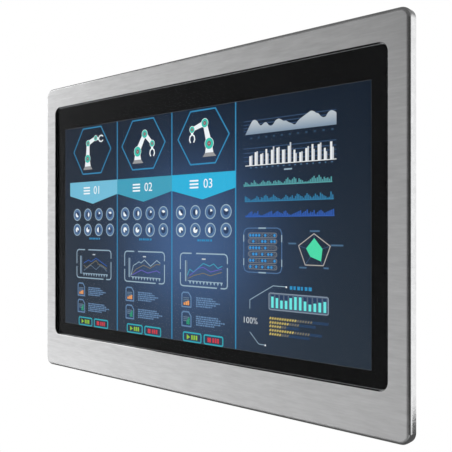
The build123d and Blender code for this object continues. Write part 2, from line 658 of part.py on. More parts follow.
TERMINAL_PITCH = 5.08
PIN_PLACES = [TERMINAL_X + i * TERMINAL_PITCH for i in (-1, 0, 1)]


def terminal_header():
    """Fixed half of the supply connector, an open shroud."""
    body = port_box(TERMINAL_X, TERMINAL_W, TERMINAL_H, TERMINAL_L)
    body -= block(TERMINAL_X - 8.6, TERMINAL_X + 8.6, BOARD_BACK_Y + 1.2, BOARD_BACK_Y + 7.8,
                  IO_Z - 2, IO_Z + 8.0)
    return body


def terminal_plug():
    """Pluggable half: nose in the shroud, block with wire holes below."""
    y0 = BOARD_BACK_Y
    nose = block(TERMINAL_X - 8.4, TERMINAL_X + 8.4, y0 + 1.4, y0 + 7.6, IO_Z - 1.0, IO_Z + 7.5)
    body = block(TERMINAL_X - 9.6, TERMINAL_X + 9.6, y0 + 0.2, y0 + 10.2, IO_Z - 13.0, IO_Z - 0.9)
    plug = nose + body
    for x in PIN_PLACES:
        plug -= block(x - 0.6, x + 0.6, y0 + 3.9, y0 + 5.1, IO_Z - 3.0, IO_Z + 8.0)
        plug -= block(x - 1.6, x + 1.6, y0 + 2.6, y0 + 5.8, IO_Z - 14.0, IO_Z - 4.0)
        plug -= rod(1.9, y0 + 7.0, y0 + 11.0, x, IO_Z - 7.5)
    return plug


def terminal_screws():
    """Slotted wire screws in the plug."""
    y0 = BOARD_BACK_Y + 7.0
    screws = []
    for x in PIN_PLACES:
        slot = block(x - 2.5, x + 2.5, y0 + 1.7, y0 + 3.0, IO_Z - 7.8, IO_Z - 7.2)
        screws.append(rod(1.9, y0, y0 + 2.4, x, IO_Z - 7.5) - slot)
    return screws


# ---------------------------------------------------------------- buttons
def push_button(x, r, proud):
    """Button with an inner collar that rests on the inside of the wall."""
    body = pillar(r, IO_Z - proud, IO_IN_Z + 3.0, x, BUTTON_Y)
    body = fillet(body.edges().group_by(Axis.Z)[0], 0.5)
    return body + pillar(r + 1.3, IO_IN_Z, IO_IN_Z + 1.5, x, BUTTON_Y)


def power_button():
    ring = pillar(4.4, IO_Z - BUTTON_PROUD - 1, IO_Z - BUTTON_PROUD + 0.3, POWER_X, BUTTON_Y)
    ring -= pillar(3.7, IO_Z - BUTTON_PROUD - 1, IO_Z - BUTTON_PROUD + 0.5, POWER_X, BUTTON_Y)
    return push_button(POWER_X, BUTTON_R, BUTTON_PROUD) - ring


def reset_button():
    return push_button(RESET_X, RESET_R, -0.5)


def button_switches():
    """Two snap switches behind the buttons, on a common bracket plate above the board."""
    face_z = IO_IN_Z + 3.0 + BUTTON_TRAVEL + 0.2
    bodies = []
    for x in (POWER_X, RESET_X):
        bodies.append(block(x - 4.0, x + 4.0, BOARD_BACK_Y, BUTTON_Y + 4.0, face_z, face_z + 6.0))
    return bodies


# ---------------------------------------------------------------- storage door
def storage_door():
    """Flap over the card holder, turning on a pin near the back."""
    x0 = SIDE_X + DOOR_GAP
    leaf = block(x0, x0 + DOOR_T, DOOR_Y0, HINGE_Y - KNUCKLE_R - 0.4,
                 DOOR_Z - DOOR_L / 2, DOOR_Z + DOOR_L / 2)
    arm = block(x0, x0 + DOOR_T, HINGE_Y - KNUCKLE_R - 1.0, HINGE_Y,
                DOOR_Z - KNUCKLE_L / 2, DOOR_Z + KNUCKLE_L / 2)
    knuckle = pillar(KNUCKLE_R, DOOR_Z - KNUCKLE_L / 2, DOOR_Z + KNUCKLE_L / 2, HINGE_X, HINGE_Y)
    lift = block(x0 + DOOR_T - 0.1, x0 + DOOR_T + 1.2, DOOR_Y0, DOOR_Y0 + 1.6, DOOR_Z - 9.0, DOOR_Z + 9.0)
    bore = pillar(HINGE_PIN_R + RUNNING_FIT, DOOR_Z - DOOR_L, DOOR_Z + DOOR_L, HINGE_X, HINGE_Y)
    return leaf + arm + knuckle + lift - bore


def door_pin():
    half = KNUCKLE_L / 2 + LUG_L
    return pillar(HINGE_PIN_R, DOOR_Z - half, DOOR_Z + half, HINGE_X, HINGE_Y)


# ---------------------------------------------------------------- panel clamps
FOOT_TIP_Y = FLANGE_Y + CLAMP_OPEN
FOOT_BACK_Y = FOOT_TIP_Y + CLAMP_FOOT_L
UPRIGHT_Y = FOOT_BACK_Y + 2.0
UPRIGHT_T = 4.0
HOOK_Y = FLANGE_Y + 6.0
SOCKET_R = 1.5
SCREW_END_Y = UPRIGHT_Y + UPRIGHT_T + CLAMP_TRAVEL + 5.0
CLAMPS = [(-CLAMP_X, 1), (CLAMP_X, 1), (-CLAMP_X, -1), (CLAMP_X, -1)]


def clamp_axis_z(side):
    return side * (TRAY_H / 2 + CLAMP_REACH)


def clamp_bracket(x, side):
    """Steel bracket: a base on the tray wall with two hooks, and an upright with the thread."""
    wall_z = side * TRAY_H / 2
    base_z = sorted((wall_z, wall_z + side * 2.0))
    base = block(x - 7, x + 7, HOOK_Y - 1.5, UPRIGHT_Y + UPRIGHT_T, *base_z)
    up_z = sorted((wall_z, wall_z + side * 13.0))
    upright = block(x - 7, x + 7, UPRIGHT_Y, UPRIGHT_Y + UPRIGHT_T, *up_z)
    hook_z = sorted((wall_z + side * 1.0, wall_z - side * 3.0))
    hook = block(x - 5, x + 5, HOOK_Y, HOOK_Y + 2.0, *hook_z)
    thread = rod(M4_R + RUNNING_FIT, UPRIGHT_Y - 1, UPRIGHT_Y + UPRIGHT_T + 1, x, clamp_axis_z(side))
    return base + upright + hook - thread


def clamp_foot(x, side):
    """Plastic pressure foot with a socket for the screw's tip."""
    z = clamp_axis_z(side)
    body = rod(CLAMP_FOOT_R, FOOT_TIP_Y, FOOT_BACK_Y, x, z)
    body = chamfer(body.edges().group_by(Axis.Y)[0], 0.6)
    return body - rod(SOCKET_R + RUNNING_FIT, FOOT_TIP_Y + 2.5, FOOT_BACK_Y + 1, x, z)


def clamp_screw(x, side):
    """Clamp screw: tip in the foot, threaded shank, slotted knurled head."""
    z = clamp_axis_z(side)
    tip = rod(SOCKET_R, FOOT_TIP_Y + 2.6, FOOT_BACK_Y + 0.4, x, z)
    shank = rod(M4_R, FOOT_BACK_Y + 0.3, SCREW_END_Y, x, z)
    head = rod(4.2, SCREW_END_Y - 0.1, SCREW_END_Y + 4.0, x, z)
    slot = plate(9.0, 1.0, SCREW_END_Y + 2.6, SCREW_END_Y + 5.0, x=x, z=z)
    return tip + shank + head - slot


# ---------------------------------------------------------------- write the parts
NODES = {
    "front_bezel": front_bezel,
    "cover_glass": cover_glass,
    "border_print": border_print,
    "bonding_tape": bonding_tape,
    "touch_sensor": touch_sensor,
    "optical_bond": optical_bond,
    "panel_gasket": panel_gasket,
    "stud_set": stud_set,
    "stud_nuts": stud_nuts,
    "lcd_front_frame": lcd_front_frame,
    "lcd_cell": lcd_cell,
    "light_guide": light_guide,
    "backlight_films": backlight_films,
    "led_strip": led_strip,
    "lcd_rear_tray": lcd_rear_tray,
    "lcd_driver_board": lcd_driver_board,
    "lcd_clips": lcd_clips,
    "chassis_frame": chassis_frame,
    "mid_plate": mid_plate,
    "touch_controller": touch_controller,
    "touch_flex": touch_flex,
    "rear_housing": rear_housing,
    "pan_screws": pan_screws,
    "vesa_inserts": vesa_inserts,
    "rating_plate": rating_plate,
    "earth_screw": earth_screw,
    "mainboard": mainboard,
    "board_standoffs": board_standoffs,
    "cpu_package": cpu_package,
    "heat_spreader": heat_spreader,
    "thermal_pad": thermal_pad,
    "memory_socket": memory_socket,
    "memory_module": memory_module,
    "storage_drive": storage_drive,
    "battery_holder": battery_holder,
    "coin_cell": coin_cell,
    "board_parts": board_parts,
    "card_slot": card_slot,
    "memory_card": memory_card,
    "lan_ports": lan_ports,
    "usb_shells": usb_shells,
    "usb_tongues": usb_tongues,
    "hdmi_port": hdmi_port,
    "terminal_header": terminal_header,
    "terminal_plug": terminal_plug,
    "terminal_screws": terminal_screws,
    "button_switches": button_switches,
    "power_button": power_button,
    "reset_button": reset_button,
    "storage_door": storage_door,
    "door_pin": door_pin,
}


def write_node(name, shape):
    """Write one node; a list of solids becomes one group."""
    if isinstance(shape, list):
        shape = Compound(children=shape)
    export_step(shape, f"parts/{name}.step")


os.makedirs("parts", exist_ok=True)
for node_name, make in NODES.items():
    write_node(node_name, make())
write_node("clamp_brackets", [clamp_bracket(x, side) for x, side in CLAMPS])
for number, (clamp_x, clamp_side) in enumerate(CLAMPS, start=1):
    write_node(f"clamp_foot_{number}", clamp_foot(clamp_x, clamp_side))
    write_node(f"clamp_screw_{number}", clamp_screw(clamp_x, clamp_side))
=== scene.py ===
import json
import math

import bmesh
import bpy
from mathutils import Matrix, Vector


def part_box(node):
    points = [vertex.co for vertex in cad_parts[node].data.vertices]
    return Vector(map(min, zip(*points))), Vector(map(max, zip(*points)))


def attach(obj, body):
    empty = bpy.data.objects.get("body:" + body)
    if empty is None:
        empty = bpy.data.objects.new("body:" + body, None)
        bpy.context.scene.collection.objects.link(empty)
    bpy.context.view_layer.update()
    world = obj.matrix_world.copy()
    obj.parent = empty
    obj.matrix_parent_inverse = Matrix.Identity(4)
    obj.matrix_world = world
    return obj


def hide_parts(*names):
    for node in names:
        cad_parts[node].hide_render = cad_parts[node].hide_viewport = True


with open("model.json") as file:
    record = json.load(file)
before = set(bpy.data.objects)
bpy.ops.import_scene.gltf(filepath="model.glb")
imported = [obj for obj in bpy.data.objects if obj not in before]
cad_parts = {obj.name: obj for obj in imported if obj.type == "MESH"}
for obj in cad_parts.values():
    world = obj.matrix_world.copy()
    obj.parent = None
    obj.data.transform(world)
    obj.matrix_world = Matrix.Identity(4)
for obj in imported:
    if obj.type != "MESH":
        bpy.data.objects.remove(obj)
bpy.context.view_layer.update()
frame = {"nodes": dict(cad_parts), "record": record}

# %% [markdown]
# # A flush-front touch panel, finished in Blender
# The panel is a flat steel front with a sheet of black-bordered glass set into it, and behind it a shallow
# tray, a finned casting and its connectors. The CAD frame already has every solid piece in its place,
# so this lesson adds what CAD leaves out: the finish of each surface, the lit picture behind the glass,
# threads, contacts and other fine parts, the light and the camera.
# Everything is in metres: X runs along the width, Z is up, and the screen faces -Y.

# %% Measure the frame
MM = 0.001
front_low, front_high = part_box("front_bezel")
glass_low, glass_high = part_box("cover_glass")
print("steel front", [round(v / MM, 1) for v in (front_high - front_low)], "mm")
print("glass", [round(v / MM, 1) for v in (glass_high - glass_low)], "mm")

# %% [markdown]
# ## Helpers for materials
# Each finish is a Principled shader fed by a few small node groups. The helpers make nodes and sockets and
# take either a plain value or another node's output for any input, so the cells below can say only what is
# special about a finish.


# %% Material helpers
FLOAT, VECTOR, COLOUR = "NodeSocketFloat", "NodeSocketVector", "NodeSocketColor"


def new_group(name, inputs, outputs):
    """An empty shader node group with named sockets: inputs are (name, type, default)."""
    group = bpy.data.node_groups.new(name, "ShaderNodeTree")
    for socket, kind, default in inputs:
        item = group.interface.new_socket(socket, in_out="INPUT", socket_type=kind)
        item.default_value = default
    for socket, kind in outputs:
        group.interface.new_socket(socket, in_out="OUTPUT", socket_type=kind)
    return group, group.nodes.new("NodeGroupInput"), group.nodes.new("NodeGroupOutput")


def feed(tree, node, inputs):
    """Give each input a plain value, or link it to another node's output."""
    for key, value in inputs.items():
        if isinstance(value, bpy.types.NodeSocket):
            tree.links.new(value, node.inputs[key])
        else:
            node.inputs[key].default_value = value


def add(tree, kind, inputs=None, **settings):
    """One node with its settings and its inputs."""
    node = tree.nodes.new(kind)
    for key, value in settings.items():
        setattr(node, key, value)
    feed(tree, node, inputs or {})
    return node


def math_node(tree, operation, *values):
    """The output of a Math node fed with numbers or outputs."""
    return add(tree, "ShaderNodeMath", dict(enumerate(values)), operation=operation).outputs[0]


def weighted(tree, first, second, share):
    """Two patterns added: the first with its share, the second with the rest."""
    return math_node(tree, "ADD", math_node(tree, "MULTIPLY", first, share),
                     math_node(tree, "MULTIPLY", second, 1.0 - share))


def ease(tree, value, low, high, start, end, curve="SMOOTHSTEP"):
    """A change from start to end while the value goes from low to high."""
    return add(tree, "ShaderNodeMapRange", {"Value": value, "From Min": low, "From Max": high,
                                            "To Min": start, "To Max": end},
               interpolation_type=curve).outputs[0]


def split_xyz(tree, vector):
    """The three parts of a vector."""
    return add(tree, "ShaderNodeSeparateXYZ", {0: vector}).outputs


def place_of(tree, coordinate="Object"):
    """Where a point of the surface is, or which way it faces."""
    return add(tree, "ShaderNodeTexCoord").outputs[coordinate]


def new_material(name):
    """A material, its node tree and its Principled shader."""
    mat = bpy.data.materials.new(name)
    mat.use_nodes = True
    return mat, mat.node_tree, mat.node_tree.nodes["Principled BSDF"]


def new_piece(name, shape, mat):
    """An object made of a finished bmesh and a material."""
    data = bpy.data.meshes.new(name)
    shape.to_mesh(data)
    shape.free()
    data.materials.append(mat)
    piece = bpy.data.objects.new(name, data)
    bpy.context.collection.objects.link(piece)
    return piece

# %% [markdown]
# ## Surface effects shared by several finishes
# Drawn steel has short scratches that all run one way. Stretching a noise pattern along X gives them, and
# the same pattern drives the colour, the roughness and a fine bump, as real scratches do.
# Castings and moulded plastic have a pebbled skin instead, made of noise that is the same in every direction.
# Handling leaves faint soft patches that change only the roughness.

# %% Drawn grain group
FINE_SHARE = 0.45
grain, g_in, g_out = new_group(
    "Drawn grain",
    [("Vector", VECTOR, (0, 0, 0)), ("Along", FLOAT, 60.0), ("Across", FLOAT, 2500.0)],
    [("Tone", FLOAT), ("Height", FLOAT)],
)
sideways = g_in.outputs["Across"]
stretch = add(grain, "ShaderNodeCombineXYZ", {"X": g_in.outputs["Along"], "Y": sideways, "Z": sideways})
scaled = add(grain, "ShaderNodeVectorMath", {0: g_in.outputs["Vector"], 1: stretch.outputs[0]},
             operation="MULTIPLY")
fine = add(grain, "ShaderNodeTexNoise", {"Vector": scaled.outputs[0], "Scale": 1.0, "Detail": 3.0,
                                         "Roughness": 0.6})
wider = add(grain, "ShaderNodeVectorMath", {0: scaled.outputs[0], 1: (0.45, 0.28, 0.28)},
            operation="MULTIPLY")
coarse = add(grain, "ShaderNodeTexNoise", {"Vector": wider.outputs[0], "Scale": 1.0, "Detail": 2.0,
                                           "Roughness": 0.5})
feed(grain, g_out, {"Tone": weighted(grain, fine.outputs[0], coarse.outputs[0], FINE_SHARE),
                    "Height": fine.outputs[0]})
print("group", grain.name, "puts out", [s.name for s in g_out.inputs if s.name])

# %% Pebbled skin group
skin, s_in, s_out = new_group(
    "Pebbled skin",
    [("Vector", VECTOR, (0, 0, 0)), ("Grain size", FLOAT, 900.0)],
    [("Tone", FLOAT), ("Height", FLOAT)],
)
pebbles = add(skin, "ShaderNodeTexNoise", {"Vector": s_in.outputs["Vector"], "Detail": 2.0,
                                           "Scale": s_in.outputs["Grain size"], "Roughness": 0.55})
patches = add(skin, "ShaderNodeTexNoise", {"Vector": s_in.outputs["Vector"], "Detail": 4.0,
                                           "Scale": 18.0, "Roughness": 0.6})
feed(skin, s_out, {"Tone": weighted(skin, pebbles.outputs[0], patches.outputs[0], 0.5),
                   "Height": pebbles.outputs[0]})
print("group", skin.name, "puts out", [s.name for s in s_out.inputs if s.name])

# %% Handling marks group
marks, m_in, m_out = new_group(
    "Handling marks",
    [("Vector", VECTOR, (0, 0, 0)), ("Patch size", FLOAT, 9.0)],
    [("Mask", FLOAT)],
)
cloud = add(marks, "ShaderNodeTexNoise", {"Vector": m_in.outputs["Vector"], "Detail": 5.0,
                                          "Scale": m_in.outputs["Patch size"], "Roughness": 0.62,
                                          "Distortion": 0.6})
feed(marks, m_out, {"Mask": cloud.outputs[0]})
print("group", marks.name, "puts out", [s.name for s in m_out.inputs if s.name])


# %% [markdown]
# ## One helper that puts a finish together
# A finish starts from a base colour and a roughness. The chosen surface effect shifts both by a few percent
# and gives the bump. The numbers that are the same all over stay on the shader's own sockets.


# %% Finish helper
TONE_LOW, TONE_HIGH = 0.3, 0.7
SWING_LOW, SWING_HIGH = 0.6, 1.4


def finish(name, base, rough, metallic=0.0, effect="skin", contrast=0.12, bump=0.02, grain_size=900.0,
           along=60.0, across=2500.0, rough_swing=0.12, coat=0.0):
    """A procedural material: base colour and roughness varied by a shared surface effect."""
    mat, tree, shader = new_material(name)
    place = place_of(tree)
    if effect == "grain":
        surface = add(tree, "ShaderNodeGroup", node_tree=grain)
        feed(tree, surface, {"Vector": place, "Along": along, "Across": across})
    else:
        surface = add(tree, "ShaderNodeGroup", node_tree=skin)
        feed(tree, surface, {"Vector": place, "Grain size": grain_size})
    handled = add(tree, "ShaderNodeGroup", {"Vector": place}, node_tree=marks)
    tone = ease(tree, surface.outputs["Tone"], TONE_LOW, TONE_HIGH, 1.0 - contrast, 1.0 + contrast, "LINEAR")
    colour = add(tree, "ShaderNodeVectorMath", {0: base, "Scale": tone}, operation="SCALE")
    swing = math_node(tree, "ADD", surface.outputs["Tone"], handled.outputs["Mask"])
    rough_here = ease(tree, swing, SWING_LOW, SWING_HIGH, rough * (1 - rough_swing),
                      rough * (1 + rough_swing), "LINEAR")
    relief = add(tree, "ShaderNodeBump", {"Height": surface.outputs["Height"], "Strength": 1.0,
                                          "Distance": bump * MM})
    feed(tree, shader, {"Metallic": metallic, "Coat Weight": coat, "Base Color": colour.outputs[0],
                        "Roughness": rough_here, "Normal": relief.outputs[0]})
    return mat


def shader_of(mat):
    """The Principled shader of a finish."""
    return mat.node_tree.nodes["Principled BSDF"]


def light_up(mat, colour, strength):
    """Let a finish glow in one colour."""
    feed(mat.node_tree, shader_of(mat), {"Emission Color": (*colour, 1.0), "Emission Strength": strength})


def dress(node, mat):
    """Give a CAD node its finish."""
    slots = frame["nodes"][node].data.materials
    slots.clear()
    slots.append(mat)


# %% [markdown]
# ## The steel front
# The front is drawn stainless steel: its scratches run along the width, a few millimetres to centimetres
# long. They could be cut as geometry, but thousands of hairlines would cost far more than they show, so a
# stretched noise makes them, with a bump a few microns deep. The rounded edge is buffed after the face is
# drawn, so it mirrors the room more sharply: a mask from the direction of the surface lowers the roughness
# wherever the steel turns away from the front.

# %% Drawn steel
EDGE_STARTS, FACE_STARTS, BUFFED_SHARE = 0.78, 0.94, 0.28
drawn_steel = finish("Drawn stainless steel", (0.60, 0.602, 0.606), 0.42, metallic=1.0, effect="grain",
                     contrast=0.12, bump=0.03, along=105.0, across=900.0, rough_swing=0.12)
tree = drawn_steel.node_tree
drawn_rough = shader_of(drawn_steel).inputs["Roughness"].links[0].from_socket
facing = math_node(tree, "ABSOLUTE", split_xyz(tree, place_of(tree, "Normal"))["Y"])
buffed = ease(tree, facing, EDGE_STARTS, FACE_STARTS, BUFFED_SHARE, 1.0)
feed(tree, shader_of(drawn_steel), {"Roughness": math_node(tree, "MULTIPLY", drawn_rough, buffed)})
dress("front_bezel", drawn_steel)
print("edge roughness", BUFFED_SHARE, "of the face's")

# %% [markdown]
# ## Glass and black border
# The cover glass is clear with a faint grey tint. Its black border is ink printed on the back face, so it is
# seen through the glass and takes the glass's own gloss. The glass is bonded to what lies behind it with no
# air between, so it bends light very little, and most of the gloss is given to the print and the picture
# behind it. A glossy black surface renders cleanly; a faint mirror over a clear pane would be grainy. The
# print is a copy of its CAD shape with a hair of clearance, because two faces in one plane would flicker.

# %% Cover glass and ink
PANE_GLOSS = 0.12
glass, tree, glass_shader = new_material("Cover glass")
glass_marks = add(tree, "ShaderNodeGroup", node_tree=marks)
feed(tree, glass_marks, {"Vector": place_of(tree), "Patch size": 14.0})
glass_tint = add(tree, "ShaderNodeMix", data_type="RGBA")
CLEAR, TOUCHED = 6, 7
feed(tree, glass_tint, {"Factor": glass_marks.outputs["Mask"], CLEAR: (0.95, 0.96, 0.97, 1.0),
                        TOUCHED: (0.91, 0.92, 0.93, 1.0)})
feed(tree, glass_shader, {"Base Color": glass_tint.outputs[2], "Transmission Weight": 1.0, "IOR": 1.05,
                          "Roughness": 0.0})
dress("cover_glass", glass)
border_ink = finish("Printed border ink", (0.0014, 0.0014, 0.0016), 0.03, bump=0.0002, grain_size=2500.0)
shader_of(border_ink).inputs["Specular IOR Level"].default_value = PANE_GLOSS

INK_CLEARANCE = 0.02 * MM
ink_front = glass_high.y + INK_CLEARANCE
ink_shape = bmesh.new()
ink_shape.from_mesh(frame["nodes"]["border_print"].data)
bmesh.ops.remove_doubles(ink_shape, verts=ink_shape.verts, dist=0.001 * MM)
for vert in ink_shape.verts:
    vert.co.y = max(vert.co.y, ink_front)
bmesh.ops.recalc_face_normals(ink_shape, faces=ink_shape.faces)
ink_border = new_piece("ink_border", ink_shape, border_ink)
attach(ink_border, "main")
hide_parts("border_print")
print("ink border:", len(ink_border.data.polygons), "faces, its front at", round(ink_front / MM, 3), "mm")

# %% [markdown]
# ## The other finishes
# The rest of the panel is a family of plain industrial finishes: galvanised sheet, blasted cast aluminium,
# moulded plastics, solder mask, tinned connector shells and small turned parts. Each takes the shared
# effects with its own grain and contrast.

# %% Finishes by slot
finishes = {
    "black_tape": finish("Foam tape", (0.012, 0.012, 0.012), 0.85, bump=0.03, grain_size=1600.0),
    "sensor_film": finish("Touch sensor film", (0.30, 0.31, 0.33), 0.25, bump=0.001, contrast=0.04),
    "clear_gel": finish("Bonding gel", (0.45, 0.47, 0.50), 0.30, bump=0.001, contrast=0.03),
    "gasket_rubber": finish("Gasket rubber", (0.016, 0.016, 0.017), 0.78, bump=0.04, grain_size=1400.0),
    "zinc_steel": finish("Zinc plated steel", (0.60, 0.61, 0.64), 0.30, metallic=1.0, bump=0.006,
                         grain_size=500.0, contrast=0.10),
    "sheet_steel": finish("Galvanised sheet", (0.50, 0.52, 0.54), 0.42, metallic=1.0, bump=0.01,
                          grain_size=120.0, contrast=0.14, rough_swing=0.25),
    "display_cell": finish("Display cell", (0.01, 0.011, 0.014), 0.15, bump=0.001),
    "white_film": finish("White film", (0.85, 0.85, 0.86), 0.5, bump=0.002, contrast=0.03),
    "clear_acrylic": finish("Light guide acrylic", (0.75, 0.78, 0.80), 0.2, bump=0.002, contrast=0.03),
    "circuit_board": finish("Solder mask", (0.012, 0.09, 0.045), 0.35, bump=0.02, grain_size=700.0,
                            contrast=0.2, coat=0.3),
    "flex_film": finish("Polyimide flex", (0.45, 0.22, 0.04), 0.3, bump=0.004, contrast=0.1),
    "cast_aluminium": finish("Blasted cast aluminium", (0.33, 0.34, 0.36), 0.5, metallic=0.9, bump=0.05,
                             grain_size=1100.0, contrast=0.12, rough_swing=0.18),
    "screw_steel": finish("Turned steel", (0.58, 0.58, 0.60), 0.26, metallic=1.0, bump=0.004,
                          grain_size=900.0),
    "plate_foil": finish("Plate foil", (0.72, 0.73, 0.74), 0.35, metallic=0.6, effect="grain", bump=0.003,
                         along=200.0, across=3000.0),
    "brass_screw": finish("Brass", (0.72, 0.52, 0.22), 0.28, metallic=1.0, bump=0.004),
    "chip_black": finish("Moulded chip", (0.015, 0.015, 0.016), 0.55, bump=0.02, grain_size=2200.0),
    "plain_aluminium": finish("Milled aluminium", (0.70, 0.71, 0.73), 0.3, metallic=1.0, effect="grain",
                              bump=0.01, along=80.0, across=1200.0),
    "thermal_pad": finish("Thermal pad", (0.16, 0.2, 0.3), 0.8, bump=0.03),
    "socket_plastic": finish("Black moulded plastic", (0.018, 0.018, 0.02), 0.48, bump=0.02,
                             grain_size=1800.0),
    "drive_case": finish("Drive case", (0.45, 0.46, 0.48), 0.38, metallic=1.0, bump=0.01),
    "cell_steel": finish("Cell steel", (0.62, 0.62, 0.62), 0.2, metallic=1.0, bump=0.003),
    "port_metal": finish("Tinned shell", (0.68, 0.68, 0.67), 0.25, metallic=1.0, bump=0.004,
                         grain_size=500.0),
    "gold": finish("Gold plating", (0.86, 0.62, 0.24), 0.22, metallic=1.0, bump=0.002, contrast=0.05),
    "card_plastic": finish("Card plastic", (0.04, 0.04, 0.045), 0.4, bump=0.01),
    "terminal_green": finish("Green terminal plastic", (0.015, 0.22, 0.06), 0.42, bump=0.015,
                             grain_size=1500.0),
    "button_steel": finish("Turned button steel", (0.62, 0.62, 0.63), 0.24, metallic=1.0, effect="grain",
                           bump=0.004, along=400.0, across=2600.0),
    "door_metal": finish("Textured door paint", (0.06, 0.062, 0.068), 0.45, bump=0.05, grain_size=1500.0),
    "foot_plastic": finish("Clamp foot plastic", (0.02, 0.02, 0.02), 0.5, bump=0.03, grain_size=1600.0),
}
done = {"front_bezel", "cover_glass", "border_print"}
for part in frame["record"]["subparts"]:
    if part["node"] not in done:
        dress(part["node"], finishes[part["material_slot"]])

# %% [markdown]
# ## Threads on the clamp screws
# Each clamp screw is a threaded rod that the installer turns to pull the panel against the cabinet. A cut
# helix would need thousands of faces for a thread that is a few millimetres across. The thread is seen only
# as fine rings, so a wave along the screw gives them as a bump.

# %% Threaded steel
THREAD_PITCH, THREAD_DEPTH = 0.8, 0.18 * MM
rings, r_in, r_out = new_group("Thread rings", [("Vector", VECTOR, (0, 0, 0)), ("Pitch", FLOAT, 0.7)],
                               [("Height", FLOAT)])
turns = math_node(rings, "DIVIDE", split_xyz(rings, r_in.outputs["Vector"])["Y"],
                  math_node(rings, "MULTIPLY", r_in.outputs["Pitch"], MM))
crest = math_node(rings, "SINE", math_node(rings, "MULTIPLY", turns, 2 * math.pi))
feed(rings, r_out, {"Height": math_node(rings, "MULTIPLY_ADD", crest, 0.5, 0.5)})

threaded = finish("Threaded steel", (0.52, 0.52, 0.54), 0.30, metallic=1.0, bump=0.004, grain_size=700.0,
                  contrast=0.16)
tree = threaded.node_tree
thread = add(tree, "ShaderNodeGroup", node_tree=rings)
feed(tree, thread, {"Vector": place_of(tree), "Pitch": THREAD_PITCH})
skin_normal = shader_of(threaded).inputs["Normal"].links[0].from_socket
thread_relief = add(tree, "ShaderNodeBump", {"Height": thread.outputs["Height"], "Strength": 1.0,
                                             "Distance": THREAD_DEPTH, "Normal": skin_normal})
feed(tree, shader_of(threaded), {"Normal": thread_relief.outputs[0]})
for index in range(1, 5):
    dress("clamp_screw_%d" % index, threaded)
print("threads on 4 clamp screws")

# %% [markdown]
# ## Ring light of the power button
# A thin ring set in a groove of the power button glows when the panel is on. It is a clear moulded ring with
# a rounded top, so a small profile is spun round the button's axis.

# %% Ring light
RING_R, RING_HALF, RING_DEPTH, RING_CROWN = 4.05, 0.28, 0.2, 0.14
button_low, button_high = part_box("power_button")
middle = (button_low + button_high) / 2
middle.z = button_low.z
profile = [(-RING_HALF, RING_DEPTH), (-RING_HALF, 0.06), (-RING_CROWN, 0.02), (RING_CROWN, 0.02),
           (RING_HALF, 0.06), (RING_HALF, RING_DEPTH)]
ring_shape = bmesh.new()
chain = [ring_shape.verts.new(middle + Vector(((RING_R + a) * MM, 0, b * MM))) for a, b in profile]
edges = [ring_shape.edges.new(pair) for pair in zip(chain, chain[1:] + chain[:1])]
bmesh.ops.spin(ring_shape, geom=chain + edges, cent=middle, axis=(0, 0, 1), angle=2 * math.pi, steps=64,
               use_merge=True)
bmesh.ops.remove_doubles(ring_shape, verts=ring_shape.verts, dist=0.0005 * MM)
bmesh.ops.recalc_face_normals(ring_shape, faces=ring_shape.faces)
for face in ring_shape.faces:
    face.smooth = True
ring_mat = finish("Frosted light ring", (0.55, 0.70, 0.80), 0.35, bump=0.003, contrast=0.05)
light_up(ring_mat, (0.25, 0.65, 1.0), 0.9)
ring_light = new_piece("ring_light", ring_shape, ring_mat)
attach(ring_light, "power_button")
print("ring light:", len(ring_light.data.polygons), "faces")

# %% [markdown]
# ## Contacts and link lights of the network ports
# Each network port has eight sprung gold contacts on one wall of its mouth and a small light window in each
# outer corner. They are small bars with a bevelled edge, placed from the box of the port shells.


# %% Port contacts and lights
def small_bar(shape, centre, size):
    """A bar with bevelled edges, its place and size in millimetres, joined to the shape."""
    made = bmesh.ops.create_cube(shape, size=1.0, matrix=Matrix.Translation(Vector(centre) * MM)
                                 @ Matrix.Diagonal((*(side * MM for side in size), 1.0)))
    bars = {edge for vert in made["verts"] for edge in vert.link_edges}
    bmesh.ops.bevel(shape, geom=list(bars), offset=0.2 * min(size) * MM, segments=2, profile=0.5,
                    affect="EDGES", material=-1)


LAN_WIDE, CONTACTS, CONTACT_PITCH, CONTACT_Y, CONTACT_IN = 16.0, 8, 1.02, -25.95, 5.5
LAMP_OUT, LAMP_Y, LAMP_IN = 5.2, -16.4, 0.05
port_low, port_high = (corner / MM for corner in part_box("lan_ports"))
port_middles = (port_low.x + LAN_WIDE / 2, port_high.x - LAN_WIDE / 2)
contacts = bmesh.new()
lamps = {"amber": bmesh.new(), "green": bmesh.new()}
for middle in port_middles:
    for k in range(CONTACTS):
        small_bar(contacts, (middle + (k - (CONTACTS - 1) / 2) * CONTACT_PITCH, CONTACT_Y,
                             port_low.z + CONTACT_IN), (0.45, 0.3, 8.0))
    for side, colour in ((-1, "amber"), (1, "green")):
        small_bar(lamps[colour], (middle + side * LAMP_OUT, LAMP_Y, port_low.z + LAMP_IN), (3.0, 1.6, 0.3))
lan_contacts = new_piece("lan_contacts", contacts, finishes["gold"])
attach(lan_contacts, "main")
for colour, tint in (("amber", (1.0, 0.45, 0.08)), ("green", (0.15, 0.9, 0.25))):
    lamp_mat = finish("Lamp window " + colour, [0.5 * value for value in tint], 0.3, bump=0.002,
                      contrast=0.05)
    light_up(lamp_mat, tint, 0.5)
    lan_lamps = new_piece("lan_lamps_" + colour, lamps[colour], lamp_mat)
    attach(lan_lamps, "main")
print("network ports:", CONTACTS * len(port_middles), "contacts,", 2 * len(port_middles), "lamps")

# %% [markdown]
# ## The lit picture
# The display shows a control page: three line columns with a small arm drawing, a numbered banner, gauges,
# a chart and buttons, and a panel of charts on the right. On the real unit it is made of light. A picture
# file could show it, but it would blur close up, so it is built here as thin coloured pieces in layers
# behind the glass, in the gap between the glass and the touch sensor.
# The page is laid out in millimetres from the middle of the lit area, u to the right and v up.

